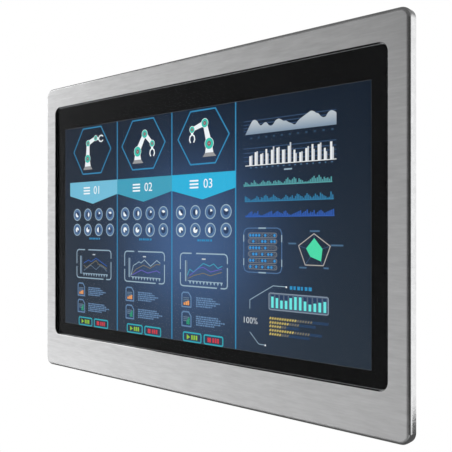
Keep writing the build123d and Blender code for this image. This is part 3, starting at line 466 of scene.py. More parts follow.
# %% Lit page material group
VIEW_HALF_W, VIEW_HALF_H = 172.08 * MM, 96.8 * MM
PAGE_GAIN, ROW_PITCH, ROW_DEPTH, CORNER_LOSS = 1.15, 0.36 * MM, 0.02, 0.05
lit, l_in, l_out = new_group(
    "Backlit page",
    [("Vector", VECTOR, (0, 0, 0)), ("Colour", COLOUR, (1, 1, 1, 1))],
    [("Light", COLOUR)],
)
page_place = split_xyz(lit, l_in.outputs["Vector"])
across_page = math_node(lit, "DIVIDE", page_place["X"], VIEW_HALF_W)
up_page = math_node(lit, "DIVIDE", page_place["Z"], VIEW_HALF_H)
far = math_node(lit, "ADD", math_node(lit, "MULTIPLY", across_page, across_page),
                math_node(lit, "MULTIPLY", up_page, up_page))
dim = math_node(lit, "MULTIPLY_ADD", far, -CORNER_LOSS, 1.0)
rows = math_node(lit, "SINE", math_node(lit, "MULTIPLY", page_place["Z"], 2 * math.pi / ROW_PITCH))
dim = math_node(lit, "MULTIPLY", dim, math_node(lit, "MULTIPLY_ADD", rows, ROW_DEPTH, 1.0 - ROW_DEPTH))
bright = add(lit, "ShaderNodeVectorMath", {0: l_in.outputs["Colour"], "Scale": dim}, operation="SCALE")
feed(lit, l_out, {"Light": bright.outputs[0]})


def light_of(tone):
    """A colour of three screen values, 0 to 255, as linear light."""
    shares = [value / 255.0 for value in tone]
    return tuple(v / 12.92 if v <= 0.04045 else ((v + 0.055) / 1.055) ** 2.4 for v in shares)


def lit_material(name):
    """A black surface that glows; gives back the material and its page group."""
    mat, tree, shader = new_material(name)
    glow = add(tree, "ShaderNodeGroup", node_tree=lit)
    feed(tree, glow, {"Vector": place_of(tree)})
    feed(tree, shader, {"Base Color": (0.004, 0.004, 0.005, 1.0), "Roughness": 0.03,
                        "Specular IOR Level": PANE_GLOSS, "Emission Strength": PAGE_GAIN,
                        "Emission Color": glow.outputs["Light"]})
    return mat, glow


PAGE_COLOURS = {
    "white": (235, 240, 242), "pale": (148, 172, 188), "ash": (92, 112, 134), "slate": (64, 92, 126),
    "navy": (40, 60, 92), "gauge": (76, 108, 148), "text": (98, 130, 166), "ice": (112, 184, 210),
    "teal": (62, 154, 180), "key": (50, 164, 180), "cyan": (44, 172, 212), "line": (48, 134, 180),
    "label": (44, 138, 188), "blue": (46, 120, 160), "royal": (46, 90, 172), "sea": (84, 156, 160),
    "joint": (52, 190, 172), "brown": (135, 84, 90), "mint": (74, 212, 164), "aqua": (108, 226, 222),
    "lime": (142, 188, 58), "red": (196, 58, 70), "amber": (226, 154, 92), "leaf": (46, 150, 112),
    "gold": (204, 184, 98), "umber": (118, 112, 92), "violet": (98, 92, 178), "dot": (56, 140, 204),
    "tan": (172, 168, 162), "stone": (122, 126, 130), "shade": (150, 150, 150), "tail": (38, 62, 92),
    "mist": (186, 194, 198), "mist_area": (186, 194, 198), "chalk": (228, 229, 230),
    "mist_bar": (196, 199, 204), "label_dim": (72, 104, 134), "rim": (128, 142, 158),
    "level": (84, 98, 116), "grid": (50, 74, 106), "faint": (44, 70, 98),
}
print(len(PAGE_COLOURS), "page colours")

# %% [markdown]
# ## Drawing helpers
# Every mark is a thin flat face made by an operator and moved into place by a matrix: a grid of one cell is a
# bar, a circle of a few sides is a polygon or a disc, and an inset turns a face into an outline.
# A mesh per colour collects the marks, and layers a few hundredths of a millimetre apart keep them from
# flickering through each other.

# %% Page drawing helpers
PAGE_MIDDLE_Z = 0.6 * MM
PAGE_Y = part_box("border_print")[0].y + 0.136 * MM
LAYER = 0.018 * MM
DIGIT_SHARE = 0.7
page = {name: bmesh.new() for name in PAGE_COLOURS}


def on_page(u, v, layer, turn=0.0):
    """Where a mark drawn flat in XY goes on the page."""
    return (Matrix.Translation((u * MM, PAGE_Y - layer * LAYER, PAGE_MIDDLE_Z + v * MM))
            @ Matrix.Rotation(math.radians(-turn), 4, "Y")
            @ Matrix.Rotation(math.radians(90), 4, "X"))


def bar(colour, u, v, width, height, layer=1, turn=0.0):
    """A filled rectangle centred at u, v."""
    size = Matrix.Diagonal((width / 2 * MM, height / 2 * MM, 1.0, 1.0))
    bmesh.ops.create_grid(page[colour], x_segments=1, y_segments=1, size=1.0,
                          matrix=on_page(u, v, layer, turn) @ size)


def span(colour, u0, u1, v0, v1, layer=1):
    """A filled rectangle from corner to corner."""
    bar(colour, (u0 + u1) / 2, (v0 + v1) / 2, abs(u1 - u0), abs(v1 - v0), layer)


def stroke(colour, points, width, layer=1):
    """A line through points, as a bar for each run."""
    for (u0, v0), (u1, v1) in zip(points, points[1:]):
        angle = math.degrees(math.atan2(v1 - v0, u1 - u0))
        bar(colour, (u0 + u1) / 2, (v0 + v1) / 2, math.hypot(u1 - u0, v1 - v0) + width * 0.5, width,
            layer, angle)


def disc(colour, u, v, radius, layer=1, sides=20, fan=False):
    """A filled circle; a fan is cut in wedges so that part of it can be removed."""
    made = bmesh.ops.create_circle(page[colour], cap_ends=True, cap_tris=fan, segments=sides,
                                   radius=radius * MM, matrix=on_page(u, v, layer))
    return made["verts"]


def ring(colour, u, v, radius, width, layer=1, sides=22):
    """A circle's outline, inset from a disc."""
    verts = disc(colour, u, v, radius, layer, sides)
    faces = list({face for vert in verts for face in vert.link_faces})
    bmesh.ops.inset_region(page[colour], faces=faces, thickness=width * MM, use_boundary=True,
                           use_even_offset=True)
    bmesh.ops.delete(page[colour], geom=faces, context="FACES")


def wedge(colour, u, v, radius, start, end, layer=1, sides=20):
    """The part of a disc between two angles, in degrees from the right, anticlockwise."""
    verts = disc(colour, u, v, radius, layer, sides, fan=True)
    spare = []
    for face in {face for vert in verts for face in vert.link_faces}:
        middle = face.calc_center_median()
        angle = math.degrees(math.atan2(middle.z - PAGE_MIDDLE_Z - v * MM, middle.x - u * MM)) % 360
        if (angle - start) % 360 > (end - start):
            spare.append(face)
    bmesh.ops.delete(page[colour], geom=spare, context="FACES")


def polygon(colour, corners, layer=1):
    """A filled polygon: a disc with as many sides, its corners moved to their places."""
    mid_u = sum(u for u, v in corners) / len(corners)
    mid_v = sum(v for u, v in corners) / len(corners)
    verts = disc(colour, mid_u, mid_v, 5.0, layer, len(corners))

    def around(u, v):
        """The angle of a corner, seen from the polygon's middle."""
        return math.atan2(v - mid_v, u - mid_u)
    verts = sorted(verts, key=lambda p: around(p.co.x / MM, (p.co.z - PAGE_MIDDLE_Z) / MM))
    for vert, (u, v) in zip(verts, sorted(corners, key=lambda p: around(*p))):
        vert.co.x = u * MM
        vert.co.z = PAGE_MIDDLE_Z + v * MM


def round_box(colour, u0, u1, v0, v1, radius, width, layer=1):
    """A rectangular outline with cut corners."""
    stroke(colour, [(u0 + radius, v0), (u1 - radius, v0), (u1 - 0.3 * radius, v0 + 0.3 * radius),
                    (u1, v0 + radius), (u1, v1 - radius), (u1 - 0.3 * radius, v1 - 0.3 * radius),
                    (u1 - radius, v1), (u0 + radius, v1), (u0 + 0.3 * radius, v1 - 0.3 * radius),
                    (u0, v1 - radius), (u0, v0 + radius), (u0 + 0.3 * radius, v0 + 0.3 * radius),
                    (u0 + radius, v0)], width, layer)


def number_mark(colour, body, u, v, height, layer=5, thin=0.0):
    """A plain number in the built-in font, turned into a mesh and joined to the page's marks."""
    curve = bpy.data.curves.new("page_number", "FONT")
    curve.body = body
    curve.size = height / DIGIT_SHARE * MM
    curve.align_x = curve.align_y = "CENTER"
    curve.resolution_u = 3
    curve.offset = -thin * MM
    holder = bpy.data.objects.new("page_number", curve)
    flat = bpy.data.meshes.new_from_object(holder)
    flat.transform(on_page(u, v, layer))
    page[colour].from_mesh(flat)
    bpy.data.objects.remove(holder)
    bpy.data.curves.remove(curve)
    bpy.data.meshes.remove(flat)


def face_forward(shape):
    """Turn every face of a flat shape to the front."""
    for face in shape.faces:
        face.normal_update()
        if face.normal.y > 0:
            face.normal_flip()


# %% [markdown]
# ### Page ground
# The ground is dark slate at its edges with a broad blue glow around the middle. A sheet of coloured faces
# would show steps, so one sheet takes its colour from a smooth bell curve in the material. Two faint slopes
# add a painted reflection: the ground grows lighter towards the bottom and less blue towards the right, like
# the faint olive sheen that the glass mirrors in its lower right.

# %% Page ground
GROUND_HALF_W, GROUND_HALF_H = 172.4 * MM, 97.1 * MM
GLOW_U, GLOW_V, GLOW_WIDE, GLOW_HIGH = 3.0 * MM, -14.0 * MM + PAGE_MIDDLE_Z, 75.0 * MM, 64.0 * MM
BASE_TONE = (0.0120, 0.0213, 0.0368)
ground_shape = bmesh.new()
bmesh.ops.create_grid(ground_shape, x_segments=8, y_segments=5, size=1.0,
                      matrix=on_page(0, 0, 0) @ Matrix.Diagonal((GROUND_HALF_W, GROUND_HALF_H, 1.0, 1.0)))
face_forward(ground_shape)
ground_mat, glow = lit_material("Page ground")
ground = new_piece("page_ground", ground_shape, ground_mat)
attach(ground, "main")

tree = ground_mat.node_tree
here = split_xyz(tree, place_of(tree))
du = math_node(tree, "MULTIPLY_ADD", here["X"], 1 / GLOW_WIDE, -GLOW_U / GLOW_WIDE)
dv = math_node(tree, "MULTIPLY_ADD", here["Z"], 1 / GLOW_HIGH, -GLOW_V / GLOW_HIGH)
spread = math_node(tree, "MULTIPLY_ADD", du, du, math_node(tree, "MULTIPLY", dv, dv))
bell = math_node(tree, "EXPONENT", math_node(tree, "MULTIPLY", spread, -1.0))
# Painted reflection: the next two slopes make the ground lighter towards the bottom and more olive towards
# the right.
side = math_node(tree, "DIVIDE", here["X"], VIEW_HALF_W)
rise = math_node(tree, "DIVIDE", here["Z"], VIEW_HALF_H)
total = BASE_TONE
for amount, tone in ((bell, (0.0377, 0.0823, 0.1933)), (side, (-0.0013, -0.0020, -0.0040)),
                     (rise, (-0.008, -0.010, -0.0115))):
    part = add(tree, "ShaderNodeVectorMath", {0: tone, "Scale": amount}, operation="SCALE")
    total = add(tree, "ShaderNodeVectorMath", {0: part.outputs[0], 1: total}, operation="ADD").outputs[0]
feed(tree, glow, {"Colour": total})
print("page ground:", len(ground.data.polygons), "faces")

# %% [markdown]
# ### Three line columns
# The columns are alike apart from the pose of the arm, the number and the traces, so functions draw their
# parts and a loop calls them three times.

# %% Column frame and banner
COLUMN_MIDDLES = (-127.2, -54.6, 17.8)
DIVIDERS = (-91.2, -18.5, 53.3)
for u in DIVIDERS:
    span("line", u - 0.62, u + 0.62, -97.0, 97.0, 1)


def hexagon(u, v):
    """The six-sided frame round an arm drawing."""
    side, top, flat = 28.8, 22.1, 14.0
    stroke("line", [(u - side, v), (u - flat, v + top), (u + flat, v + top), (u + side, v),
                    (u + flat, v - top), (u - flat, v - top), (u - side, v)], 1.2, 1)


def banner(colour, u0, u1, body):
    """A banner whose lower edge comes to a point, with a list mark and a number."""
    mid = (u0 + u1) / 2
    polygon(colour, [(u0, 43.2), (u1, 43.2), (u1, 29.9), (mid, 21.6), (u0, 29.9)], 2)
    for k in range(3):
        span("white", mid - 14.5, mid - 4.5, 31.0 + 2.8 * k, 32.4 + 2.8 * k, 3)
    number_mark("white", body, mid + 6.5, 34.2, 7.6)


banner("ice", -164.3, -91.2, "01")
banner("teal", -91.2, -18.5, "02")
banner("cyan", -18.5, 53.3, "03")
print("banners and dividers drawn")

# %% [markdown]
# #### The arm drawing
# Each arm stands on a flared foot, has white links that taper from joint to joint, a round joint with a
# darker hub at each bend, and a two-finger gripper.


# %% Arm drawing
def link(start, end, wide, narrow):
    """A white link that tapers from one joint to the next."""
    (u0, v0), (u1, v1) = start, end
    length = math.hypot(u1 - u0, v1 - v0)
    nu, nv = -(v1 - v0) / length, (u1 - u0) / length
    polygon("white", [(u0 + nu * wide, v0 + nv * wide), (u0 - nu * wide, v0 - nv * wide),
                      (u1 - nu * narrow, v1 - nv * narrow), (u1 + nu * narrow, v1 + nv * narrow)], 3)


def arm(joints, radii, grip, grip_turn):
    """Foot, links, joints and gripper of one arm."""
    (u, v) = joints[0]
    polygon("white", [(u - 3.2, v - 1.0), (u + 3.2, v - 1.0), (u + 4.6, v - 7.4), (u - 4.6, v - 7.4)], 2)
    polygon("shade", [(u - 4.6, v - 7.4), (u + 4.6, v - 7.4), (u + 7.6, v - 10.6), (u - 7.2, v - 10.6)], 2)
    for (start, end), size in zip(zip(joints, joints[1:]), (2.9, 2.3)):
        link(start, end, size, size * 0.75)
    for (ju, jv), radius in zip(joints, radii):
        disc("white", ju, jv, radius + 0.4, 4, 18)
        disc("joint", ju, jv, radius, 5, 18)
        disc("brown", ju, jv, radius * 0.46, 6, 12)
        disc("tan", ju, jv, radius * 0.17, 7, 8)
    gu, gv = grip
    link(joints[-1], grip, 1.5, 1.3)
    cos_t, sin_t = math.cos(math.radians(grip_turn)), math.sin(math.radians(grip_turn))
    for side in (-1, 1):
        finger = [(0.0, 0.0), (1.6, side * 2.4), (4.4, side * 3.0), (6.6, side * 1.9)]
        stroke("white", [(gu + a * cos_t - b * sin_t, gv + a * sin_t + b * cos_t) for a, b in finger],
               1.25, 3)


arm([(-135.8, 65.5), (-135.2, 80.4), (-123.4, 84.6)], (3.9, 2.8, 2.4), (-119.0, 83.6), 0.0)
arm([(-62.7, 66.9), (-53.2, 82.0), (-43.4, 72.7)], (4.5, 3.5, 2.8), (-43.4, 68.4), -90.0)
arm([(25.0, 67.0), (20.1, 84.1), (5.7, 80.0)], (4.6, 3.6, 2.7), (5.7, 76.0), -90.0)
for u in (-129.3, -55.7, 17.8):
    hexagon(u, 73.0)

# %% [markdown]
# #### Gauges
# Eight round gauges stand in two rows in each column. Each is a pale ring, a dark dial and a white part of
# a disc that shows its reading.

# %% Gauges
GAUGE_PARTS = (((120, 330), (-80, 80), (10, 95), (20, 140)), ((-20, 275), (95, 385), (85, 265), (95, 170)))
for middle in COLUMN_MIDDLES:
    for (v, parts) in zip((11.2, -3.6), GAUGE_PARTS):
        for k, (start, end) in enumerate(parts):
            u = middle - 25.4 + 16.95 * k
            disc("gauge", u, v, 5.2, 1)
            ring("pale", u, v, 5.95, 0.85, 2)
            disc("navy", u, v, 2.9, 2, 16)
            wedge("white", u, v, 2.5, start, end, 3)
    for k, width in enumerate((1.5, 1.1, 1.6, 1.2, 1.5, 1.0, 1.6)):
        span("label", middle - 6.0 + 2.4 * k, middle - 6.0 + 2.4 * k + width + 0.3, -12.9, -11.2, 1)
print("gauges:", 8 * len(COLUMN_MIDDLES))

# %% [markdown]
# #### Trend charts
# A broken outline with round corners frames each chart. Inside are two axes with teeth, a small title bar
# and three traces.

# %% Trend charts
TRACES = (
    (("royal", [(-14.6, -35.9), (-7.3, -32.9), (-3.3, -34.4), (4.4, -30.9), (20.9, -38.0)]),
     ("umber", [(-14.6, -38.2), (-10.9, -40.5), (4.4, -33.1), (8.8, -36.8), (13.1, -37.2), (20.9, -40.7)]),
     ("ash", [(-14.6, -43.2), (-3.7, -37.8), (4.4, -41.9), (10.5, -37.8), (15.7, -39.3), (20.9, -42.8)])),
    (("pale", [(-17.1, -45.0), (-14.0, -36.0), (-6.2, -32.2), (-3.5, -33.3), (1.1, -30.4), (9.1, -35.7),
               (17.2, -30.4), (21.6, -32.7)]),
     ("umber", [(-16.3, -43.9), (-10.0, -39.0), (0.0, -35.0), (8.3, -37.6), (16.5, -33.9), (21.6, -34.0)]),
     ("violet", [(-15.5, -44.4), (-3.1, -39.5), (5.3, -41.9), (17.2, -39.4), (21.6, -41.2)])),
    (("teal", [(-17.8, -41.7), (-14.9, -36.3), (-10.5, -38.5), (0.6, -31.0), (7.7, -33.0), (12.1, -31.0),
               (16.8, -34.5), (21.4, -32.5)]),
     ("violet", [(-15.1, -41.6), (-4.6, -35.2), (0.6, -34.2), (8.9, -37.7), (20.8, -34.8)]),
     ("umber", [(-16.5, -44.0), (-9.8, -41.3), (0.6, -39.0), (8.3, -40.8), (20.8, -37.6)])),
)
for middle, traces in zip(COLUMN_MIDDLES, TRACES):
    def shifted(points):
        """The points in their own column."""
        return [(middle + u, v) for u, v in points]
    for run in ([(-13.0, -23.0), (-23.0, -23.0), (-25.2, -24.0), (-26.0, -26.0), (-26.0, -36.4)],
                [(-26.0, -39.6), (-26.0, -48.0), (-25.2, -49.8), (-23.0, -50.5), (15.4, -50.5)],
                [(19.9, -50.5), (24.0, -50.5), (26.1, -49.8), (26.9, -48.0), (26.9, -34.0)],
                [(26.9, -30.4), (26.9, -26.0), (26.1, -24.0), (24.0, -23.0), (-7.3, -23.0)]):
        stroke("pale", shifted(run), 1.05, 1)
    span("pale", middle - 20.4, middle - 19.4, -46.6, -29.0, 1)
    span("ash", middle - 19.4, middle - 17.6, -46.6, -29.0, 1)
    span("pale", middle - 17.0, middle + 21.8, -46.3, -45.7, 1)
    for k in range(10):
        u = middle - 14.5 + 3.9 * k
        polygon("pale", [(u - 1.3, -46.0), (u + 1.3, -46.0), (u, -48.8)], 1)
    span("mist", middle - 1.0, middle + 3.2, -28.0, -26.9, 1)
    for layer, (colour, points) in enumerate(traces):
        stroke(colour, shifted(points), 0.7, 2 + layer)

# %% [markdown]
# #### Cards, notes and keys
# Two small cards with an amber and a green reading stand beside blocks of fine rows that taper to a point.
# Words on the real page are left as short bars, and the keys below carry plain marks for start and stop.


# %% Cards, notes and keys
def card(u, v, colour, left, right, low, high):
    """A card outline with a clipped corner, some fine rows and its reading."""
    stroke("text", [(u - 5.2, v - 6.0), (u - 5.2, v + 4.6), (u - 3.6, v + 6.0), (u + 2.6, v + 6.0),
                   (u + 5.4, v + 2.6), (u + 5.4, v - 6.0), (u - 5.2, v - 6.0)], 1.2, 1)
    span("tail", u - 4.7, u + 4.9, v - 5.5, v + 1.4, 1)
    for k in range(3):
        span("ash", u - 3.6, u + 3.4, v + 1.0 - 1.5 * k, v + 2.0 - 1.5 * k, 2)
    for place, share in ((0.0, 0.55), (0.36, 0.8), (0.70, 1.0)):
        at = left + (right - left) * place
        span(colour, u + at, u + at + 0.3 * (right - left), v + low, v + low + (high - low) * share, 3)


def note(u, v, ends):
    """Rows of short bars, each row ending at its own place."""
    for row, end in enumerate(ends):
        start = 0.0
        step = 0
        while start < end - 1.0:
            word = min((2.6, 1.7, 3.3, 2.1, 1.4)[(step + 2 * row) % 5], end - start)
            span("text", u + start, u + start + word, v - 1.72 * row, v - 1.72 * row - 1.15, 1)
            start += word + 0.55
            step += 1


def key(u0, u1, colour, start):
    """A key with a plain mark: a triangle to start, a square to stop."""
    round_box("key", u0, u1, -96.6, -89.4, 1.2, 1.2, 1)
    mid = (u0 + u1) / 2
    if start:
        polygon(colour, [(mid - 6.2, -90.9), (mid - 6.2, -95.3), (mid - 2.4, -93.1)], 2)
    else:
        span(colour, mid - 6.4, mid - 2.6, -95.0, -91.2, 2)
    for k in range(3):
        span(colour, mid - 1.0 + 2.6 * k, mid + 0.8 + 2.6 * k, -95.0, -91.2, 2)


for middle in COLUMN_MIDDLES:
    card(middle - 18.9, -62.0, "amber", -3.2, 3.4, -4.6, -0.8)
    note(middle - 7.6, -59.2, (18.4, 23.0, 26.5, 23.0, 17.6))
    card(middle - 18.9, -78.2, "leaf", 0.2, 3.8, -4.4, 1.6)
    note(middle - 7.6, -74.6, (24.5, 28.6, 31.6, 27.0, 20.5))
    key(middle - 22.4, middle - 2.0, "lime", True)
    key(middle + 1.6, middle + 22.0, "red", False)
print("cards, notes and keys drawn")

# %% [markdown]
# ### Chart panel
# The right side of the page carries an area chart, a bar chart, three rows of fine bars, a matrix of lamps,
# a five-sided radar chart, a level gauge and hatched rows.

# %% Area chart
AREA_LINE = [(64.0, 70.2), (66.5, 73.9), (68.9, 77.7), (71.1, 80.6), (73.5, 81.2), (75.9, 79.7), (77.6, 77.2),
             (79.3, 76.0), (81.1, 76.8), (82.8, 78.1), (84.1, 78.3), (85.3, 77.5), (87.0, 75.5), (89.1, 74.9),
             (90.8, 75.5), (93.3, 78.6), (96.2, 79.6), (98.7, 78.6), (100.7, 77.3), (102.7, 77.5),
             (105.2, 76.0), (108.0, 74.9), (111.0, 73.4), (114.3, 76.6), (116.7, 78.0), (119.8, 79.6),
             (122.8, 81.1), (125.1, 82.2), (127.8, 81.3), (129.3, 79.9), (131.2, 79.6), (133.4, 77.1),
             (135.7, 76.1), (137.5, 76.6), (139.3, 79.2), (141.5, 80.5), (143.7, 80.1), (146.2, 78.4)]


def height_at(u):
    """Height of the area's line at u, between its given points."""
    for (u0, v0), (u1, v1) in zip(AREA_LINE, AREA_LINE[1:]):
        if u <= u1:
            return v0 + (v1 - v0) * max(0.0, u - u0) / (u1 - u0)
    return AREA_LINE[-1][1]


for v in (80.5, 77.7, 75.2, 72.9):
    span("grid", 62.2, 146.2, v - 0.35, v + 0.35, 1)
AREA_BASE = 70.1
made = bmesh.ops.create_grid(page["mist_area"], x_segments=76, y_segments=1, size=1.0,
                             matrix=on_page(105.1, AREA_BASE + 1, 2)
                             @ Matrix.Diagonal((41.1 * MM, MM, 1.0, 1.0)))
for vert in made["verts"]:
    upper_edge = vert.co.z > PAGE_MIDDLE_Z + (AREA_BASE + 1) * MM
    vert.co.z = PAGE_MIDDLE_Z + (height_at(vert.co.x / MM) if upper_edge else AREA_BASE) * MM
for k in range(11):
    span("faint", 68.9 + 7.3 * k, 70.9 + 7.3 * k, 66.4, 67.8, 1)

# %% Bar charts
BARS = ((68.0, 71.1, 53.4, 53.9), (73.3, 76.5, 56.1, 56.7), (78.7, 81.7, 54.3, 54.9),
        (83.8, 86.6, 57.7, 54.4), (89.0, 92.1, 56.8, 59.2), (94.1, 97.1, 57.9, 58.4),
        (99.3, 102.3, 56.0, 56.1), (104.6, 107.6, 58.5, 61.0), (109.7, 112.6, 55.3, 52.6),
        (114.9, 117.8, 53.0, 53.5), (120.1, 123.2, 55.6, 56.8), (125.5, 128.2, 58.0, 54.5),
        (130.7, 133.8, 57.5, 58.5), (135.9, 138.6, 54.5, 52.1), (141.0, 144.1, 58.6, 54.8))
for v in (59.4, 55.9, 52.8, 49.7):
    span("grid", 62.2, 146.2, v - 0.38, v + 0.38, 1)
for u0, u1, left_top, right_top in BARS:
    span("chalk", u0, u0 + 0.58 * (u1 - u0), 46.1, left_top, 2)
    span("mist_bar", u0 + 0.58 * (u1 - u0), u1, 46.1, right_top, 2)
    span("label_dim", u0 + 0.7, u1 - 0.7, 43.9, 44.9, 1)
span("chalk", 64.0, 146.2, 45.8, 46.4, 2)
span("pale", 101.1, 108.4, 41.0, 42.1, 1)

SKYLINES = (
    ("sea", 62.3, 30.5, "25421437421246435531453542136854686164311124685696364536"),
    ("blue", 63.5, 18.4, "76431234752547863458643212475346258754258642475386431295"),
    ("royal", 64.1, 6.7, "1246735472112345673467543674212345673568354724675345678"),
)
for colour, left, base, skyline in SKYLINES:
    step = 80.6 / len(skyline)
    for k, rise in enumerate(skyline):
        span(colour, left + step * k, left + step * (k + 0.72), base, base + 0.5 + 0.52 * int(rise), 2)
    span(colour, left, left + 80.6, base - 0.3, base + 0.4, 1)
print("bars:", 2 * len(BARS) + sum(len(row[3]) for row in SKYLINES))

# %% Lamp matrix and radar chart
round_box("gauge", 62.4, 99.0, -35.9, -2.0, 4.0, 0.8, 1)
for v in (-2.0, -35.9):
    span("pale", 77.0, 84.2, v - 0.5, v + 0.5, 2)
for u in (62.4, 99.0):
    for v in (-9.8, -28.1):
        span("pale", u - 0.45, u + 0.45, v - 2.7, v + 2.7, 2)
LAMP_ROWS = ("111101001", "010011011", "111101000", "011010110", "110011001", "101010110")
for v, lamps in zip((-7.5, -12.1, -17.1, -21.9, -26.8, -31.6), LAMP_ROWS):
    round_box("stone", 66.9, 94.6, v - 1.75, v + 1.75, 1.7, 0.5, 1)
    for k, lamp in enumerate(lamps):
        if lamp == "1":
            disc("dot", 69.0 + 2.92 * k, v, 1.15, 2, 12)
        else:
            ring("stone", 69.0 + 2.92 * k, v, 1.0, 0.3, 2, 12)

RADAR = [(127.6, -6.0), (141.2, -14.8), (135.4, -28.6), (120.0, -28.6), (114.2, -14.8)]
stroke("tan", RADAR + RADAR[:1], 0.7, 1)
for u, v in RADAR:
    stroke("slate", [(127.7, -18.6), (u, v)], 0.35, 1)
polygon("mint", [(127.8, -9.1), (134.7, -16.8), (133.5, -25.6), (124.4, -22.5), (120.8, -16.7)], 2)
for u0, u1, v in ((124.0, 132.4, -4.2), (105.1, 112.1, -13.3), (141.8, 151.7, -14.1), (114.9, 121.2, -30.6),
                  (135.5, 139.8, -30.3)):
    span("label_dim", u0, u1, v - 0.6, v + 0.6, 1)

# %% Callouts, level gauge and hatched rows
stroke("pale", [(103.4, -45.4), (91.0, -45.3), (68.5, -57.3), (68.5, -64.0)], 0.55, 1)
stroke("pale", [(68.7, -82.2), (77.2, -90.5), (82.7, -90.6)], 0.55, 1)
disc("chalk", 103.2, -45.6, 0.75, 2, 12)
disc("chalk", 83.6, -90.8, 0.75, 2, 12)
for k, width in enumerate((2.6, 2.2, 2.8, 2.0, 2.6, 3.0)):
    span("label", 106.4 + 3.3 * k, 106.4 + 3.3 * k + width - 0.3, -47.2, -44.6, 1)
number_mark("white", "100%", 68.8, -73.4, 4.9, thin=0.1)

round_box("rim", 87.1, 139.6, -63.2, -50.8, 1.2, 0.75, 2)
span("level", 87.6, 139.3, -62.9, -51.1, 1)
LEVELS = (-53.0, -53.8, -55.4, -55.3, -53.0, -51.9, -51.9, -54.6, -56.5, -55.5, -54.6, -53.7)
for k, top in enumerate(LEVELS):
    u = 90.4 + 4.21 * k
    span("navy", u - 1.5, u + 1.5, -62.2, -51.8, 3)
    span("aqua", u - 1.15, u + 1.15, -61.8, top - 0.4, 4)

for v, gold_end, tail_end in ((-69.7, 127.9, 139.7), (-72.8, 116.5, 129.0), (-75.6, 104.7, 115.1),
                              (-78.6, 126.5, 134.2), (-81.5, 107.7, 123.7)):
    span("tail", 0.5 * (87.9 + gold_end), tail_end, v - 1.0, v + 1.0, 1)
    marks_count = int((gold_end - 87.9) / 2.3)
    for k in range(marks_count):
        bar("gold" if k < 0.62 * marks_count else "umber", 88.4 + 2.3 * k, v, 1.15, 2.0, 2, turn=-36.0)

# The marks of the panel are moved together, so that its left edge keeps its distance from the divider.
CHART_SHIFT = -0.8
for shape in page.values():
    moved = [vert for vert in shape.verts if vert.co.x > (DIVIDERS[-1] + 1.0) * MM]
    bmesh.ops.translate(shape, verts=moved, vec=(CHART_SHIFT * MM, 0, 0))
print("chart panel drawn")

# %% [markdown]
# ### From marks to pieces
# The marks of one colour become one piece, which rides on the main body. The area chart's fill alone fades,
# from grey blue at its base to pale grey at its peaks.

# %% Page pieces
AREA_LOW, AREA_HIGH = 69.8 * MM, 83.0 * MM
page_faces = 0
for colour, shape in page.items():
    page_faces += len(shape.faces)
    face_forward(shape)
    mat, glow = lit_material("Page " + colour)
    feed(mat.node_tree, glow, {"Colour": (*light_of(PAGE_COLOURS[colour]), 1.0)})
    mark = new_piece("page_" + colour, shape, mat)
    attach(mark, "main")
    if colour == "mist_area":
        tree = mat.node_tree
        fade = add(tree, "ShaderNodeMapRange", data_type="FLOAT_VECTOR")
        feed(tree, fade, {"Vector": split_xyz(tree, place_of(tree))["Z"]})
        limits = {"From_Min_FLOAT3": (AREA_LOW,) * 3, "From_Max_FLOAT3": (AREA_HIGH,) * 3,
                  "To_Min_FLOAT3": light_of((116, 138, 160)), "To_Max_FLOAT3": light_of((200, 206, 208))}
        for socket in fade.inputs:
            if socket.identifier in limits:
                socket.default_value = limits[socket.identifier]
        feed(tree, glow, {"Colour": fade.outputs["Vector"]})
print("page marks:", page_faces, "faces in", len(PAGE_COLOURS), "pieces")

# %% [markdown]
# ## Floor
# The panel hangs over a plain pale floor. The camera sees the floor as pure white. The mirror-like edge of
# the steel sees the floor glow with a painted shadow: darker under the panel and lighter in front of it, as
# in a studio where the panel shades the ground below itself.

# %% Floor
FLOOR_Z, FLOOR_R = -0.62, 1.7
FLOOR_FRONT, FLOOR_PAINTED_SHADOW = 0.50, 0.12
floor_shape = bmesh.new()
bmesh.ops.create_circle(floor_shape, cap_ends=True, segments=64, radius=FLOOR_R,
                        matrix=Matrix.Translation((0, 0.25, FLOOR_Z)))
floor_mat, tree, floor_shader = new_material("Floor paint")
feed(tree, floor_shader, {"Base Color": (0.92, 0.92, 0.92, 1.0), "Roughness": 0.9})
ray = add(tree, "ShaderNodeLightPath").outputs
# Painted shadow: the floor's glow for mirror rays drops from its front value to a dim value under the panel.
shade = ease(tree, split_xyz(tree, place_of(tree))["Y"], -0.80, -0.30, FLOOR_FRONT, FLOOR_PAINTED_SHADOW)
mirrored = add(tree, "ShaderNodeEmission", {"Strength": shade})
seen = add(tree, "ShaderNodeEmission", {"Color": (1.0, 1.0, 1.0, 1.0)})
paint = add(tree, "ShaderNodeMixShader", {"Fac": ray["Is Glossy Ray"], 1: floor_shader.outputs[0],
                                          2: mirrored.outputs[0]})
paint = add(tree, "ShaderNodeMixShader", {"Fac": ray["Is Camera Ray"], 1: paint.outputs[0],
                                          2: seen.outputs[0]})
feed(tree, tree.nodes["Material Output"], {"Surface": paint.outputs[0]})
floor = new_piece("floor", floor_shape, floor_mat)
print("floor:", 2 * FLOOR_R, "m across")

# %% [markdown]
# ## Room light
# The room is a soft studio. In front of the panel it is bright on the left and dark on the right. The left
# part lights the drawn steel, whose grain spreads it over the face, and the glass mirrors it only faintly.
# Bands above and below fill in, and a white sweep stands behind the panel, brighter to the right, where the
# buffed edge mirrors it. Four small soft lights shape the left end of the steel. The camera sees plain white.

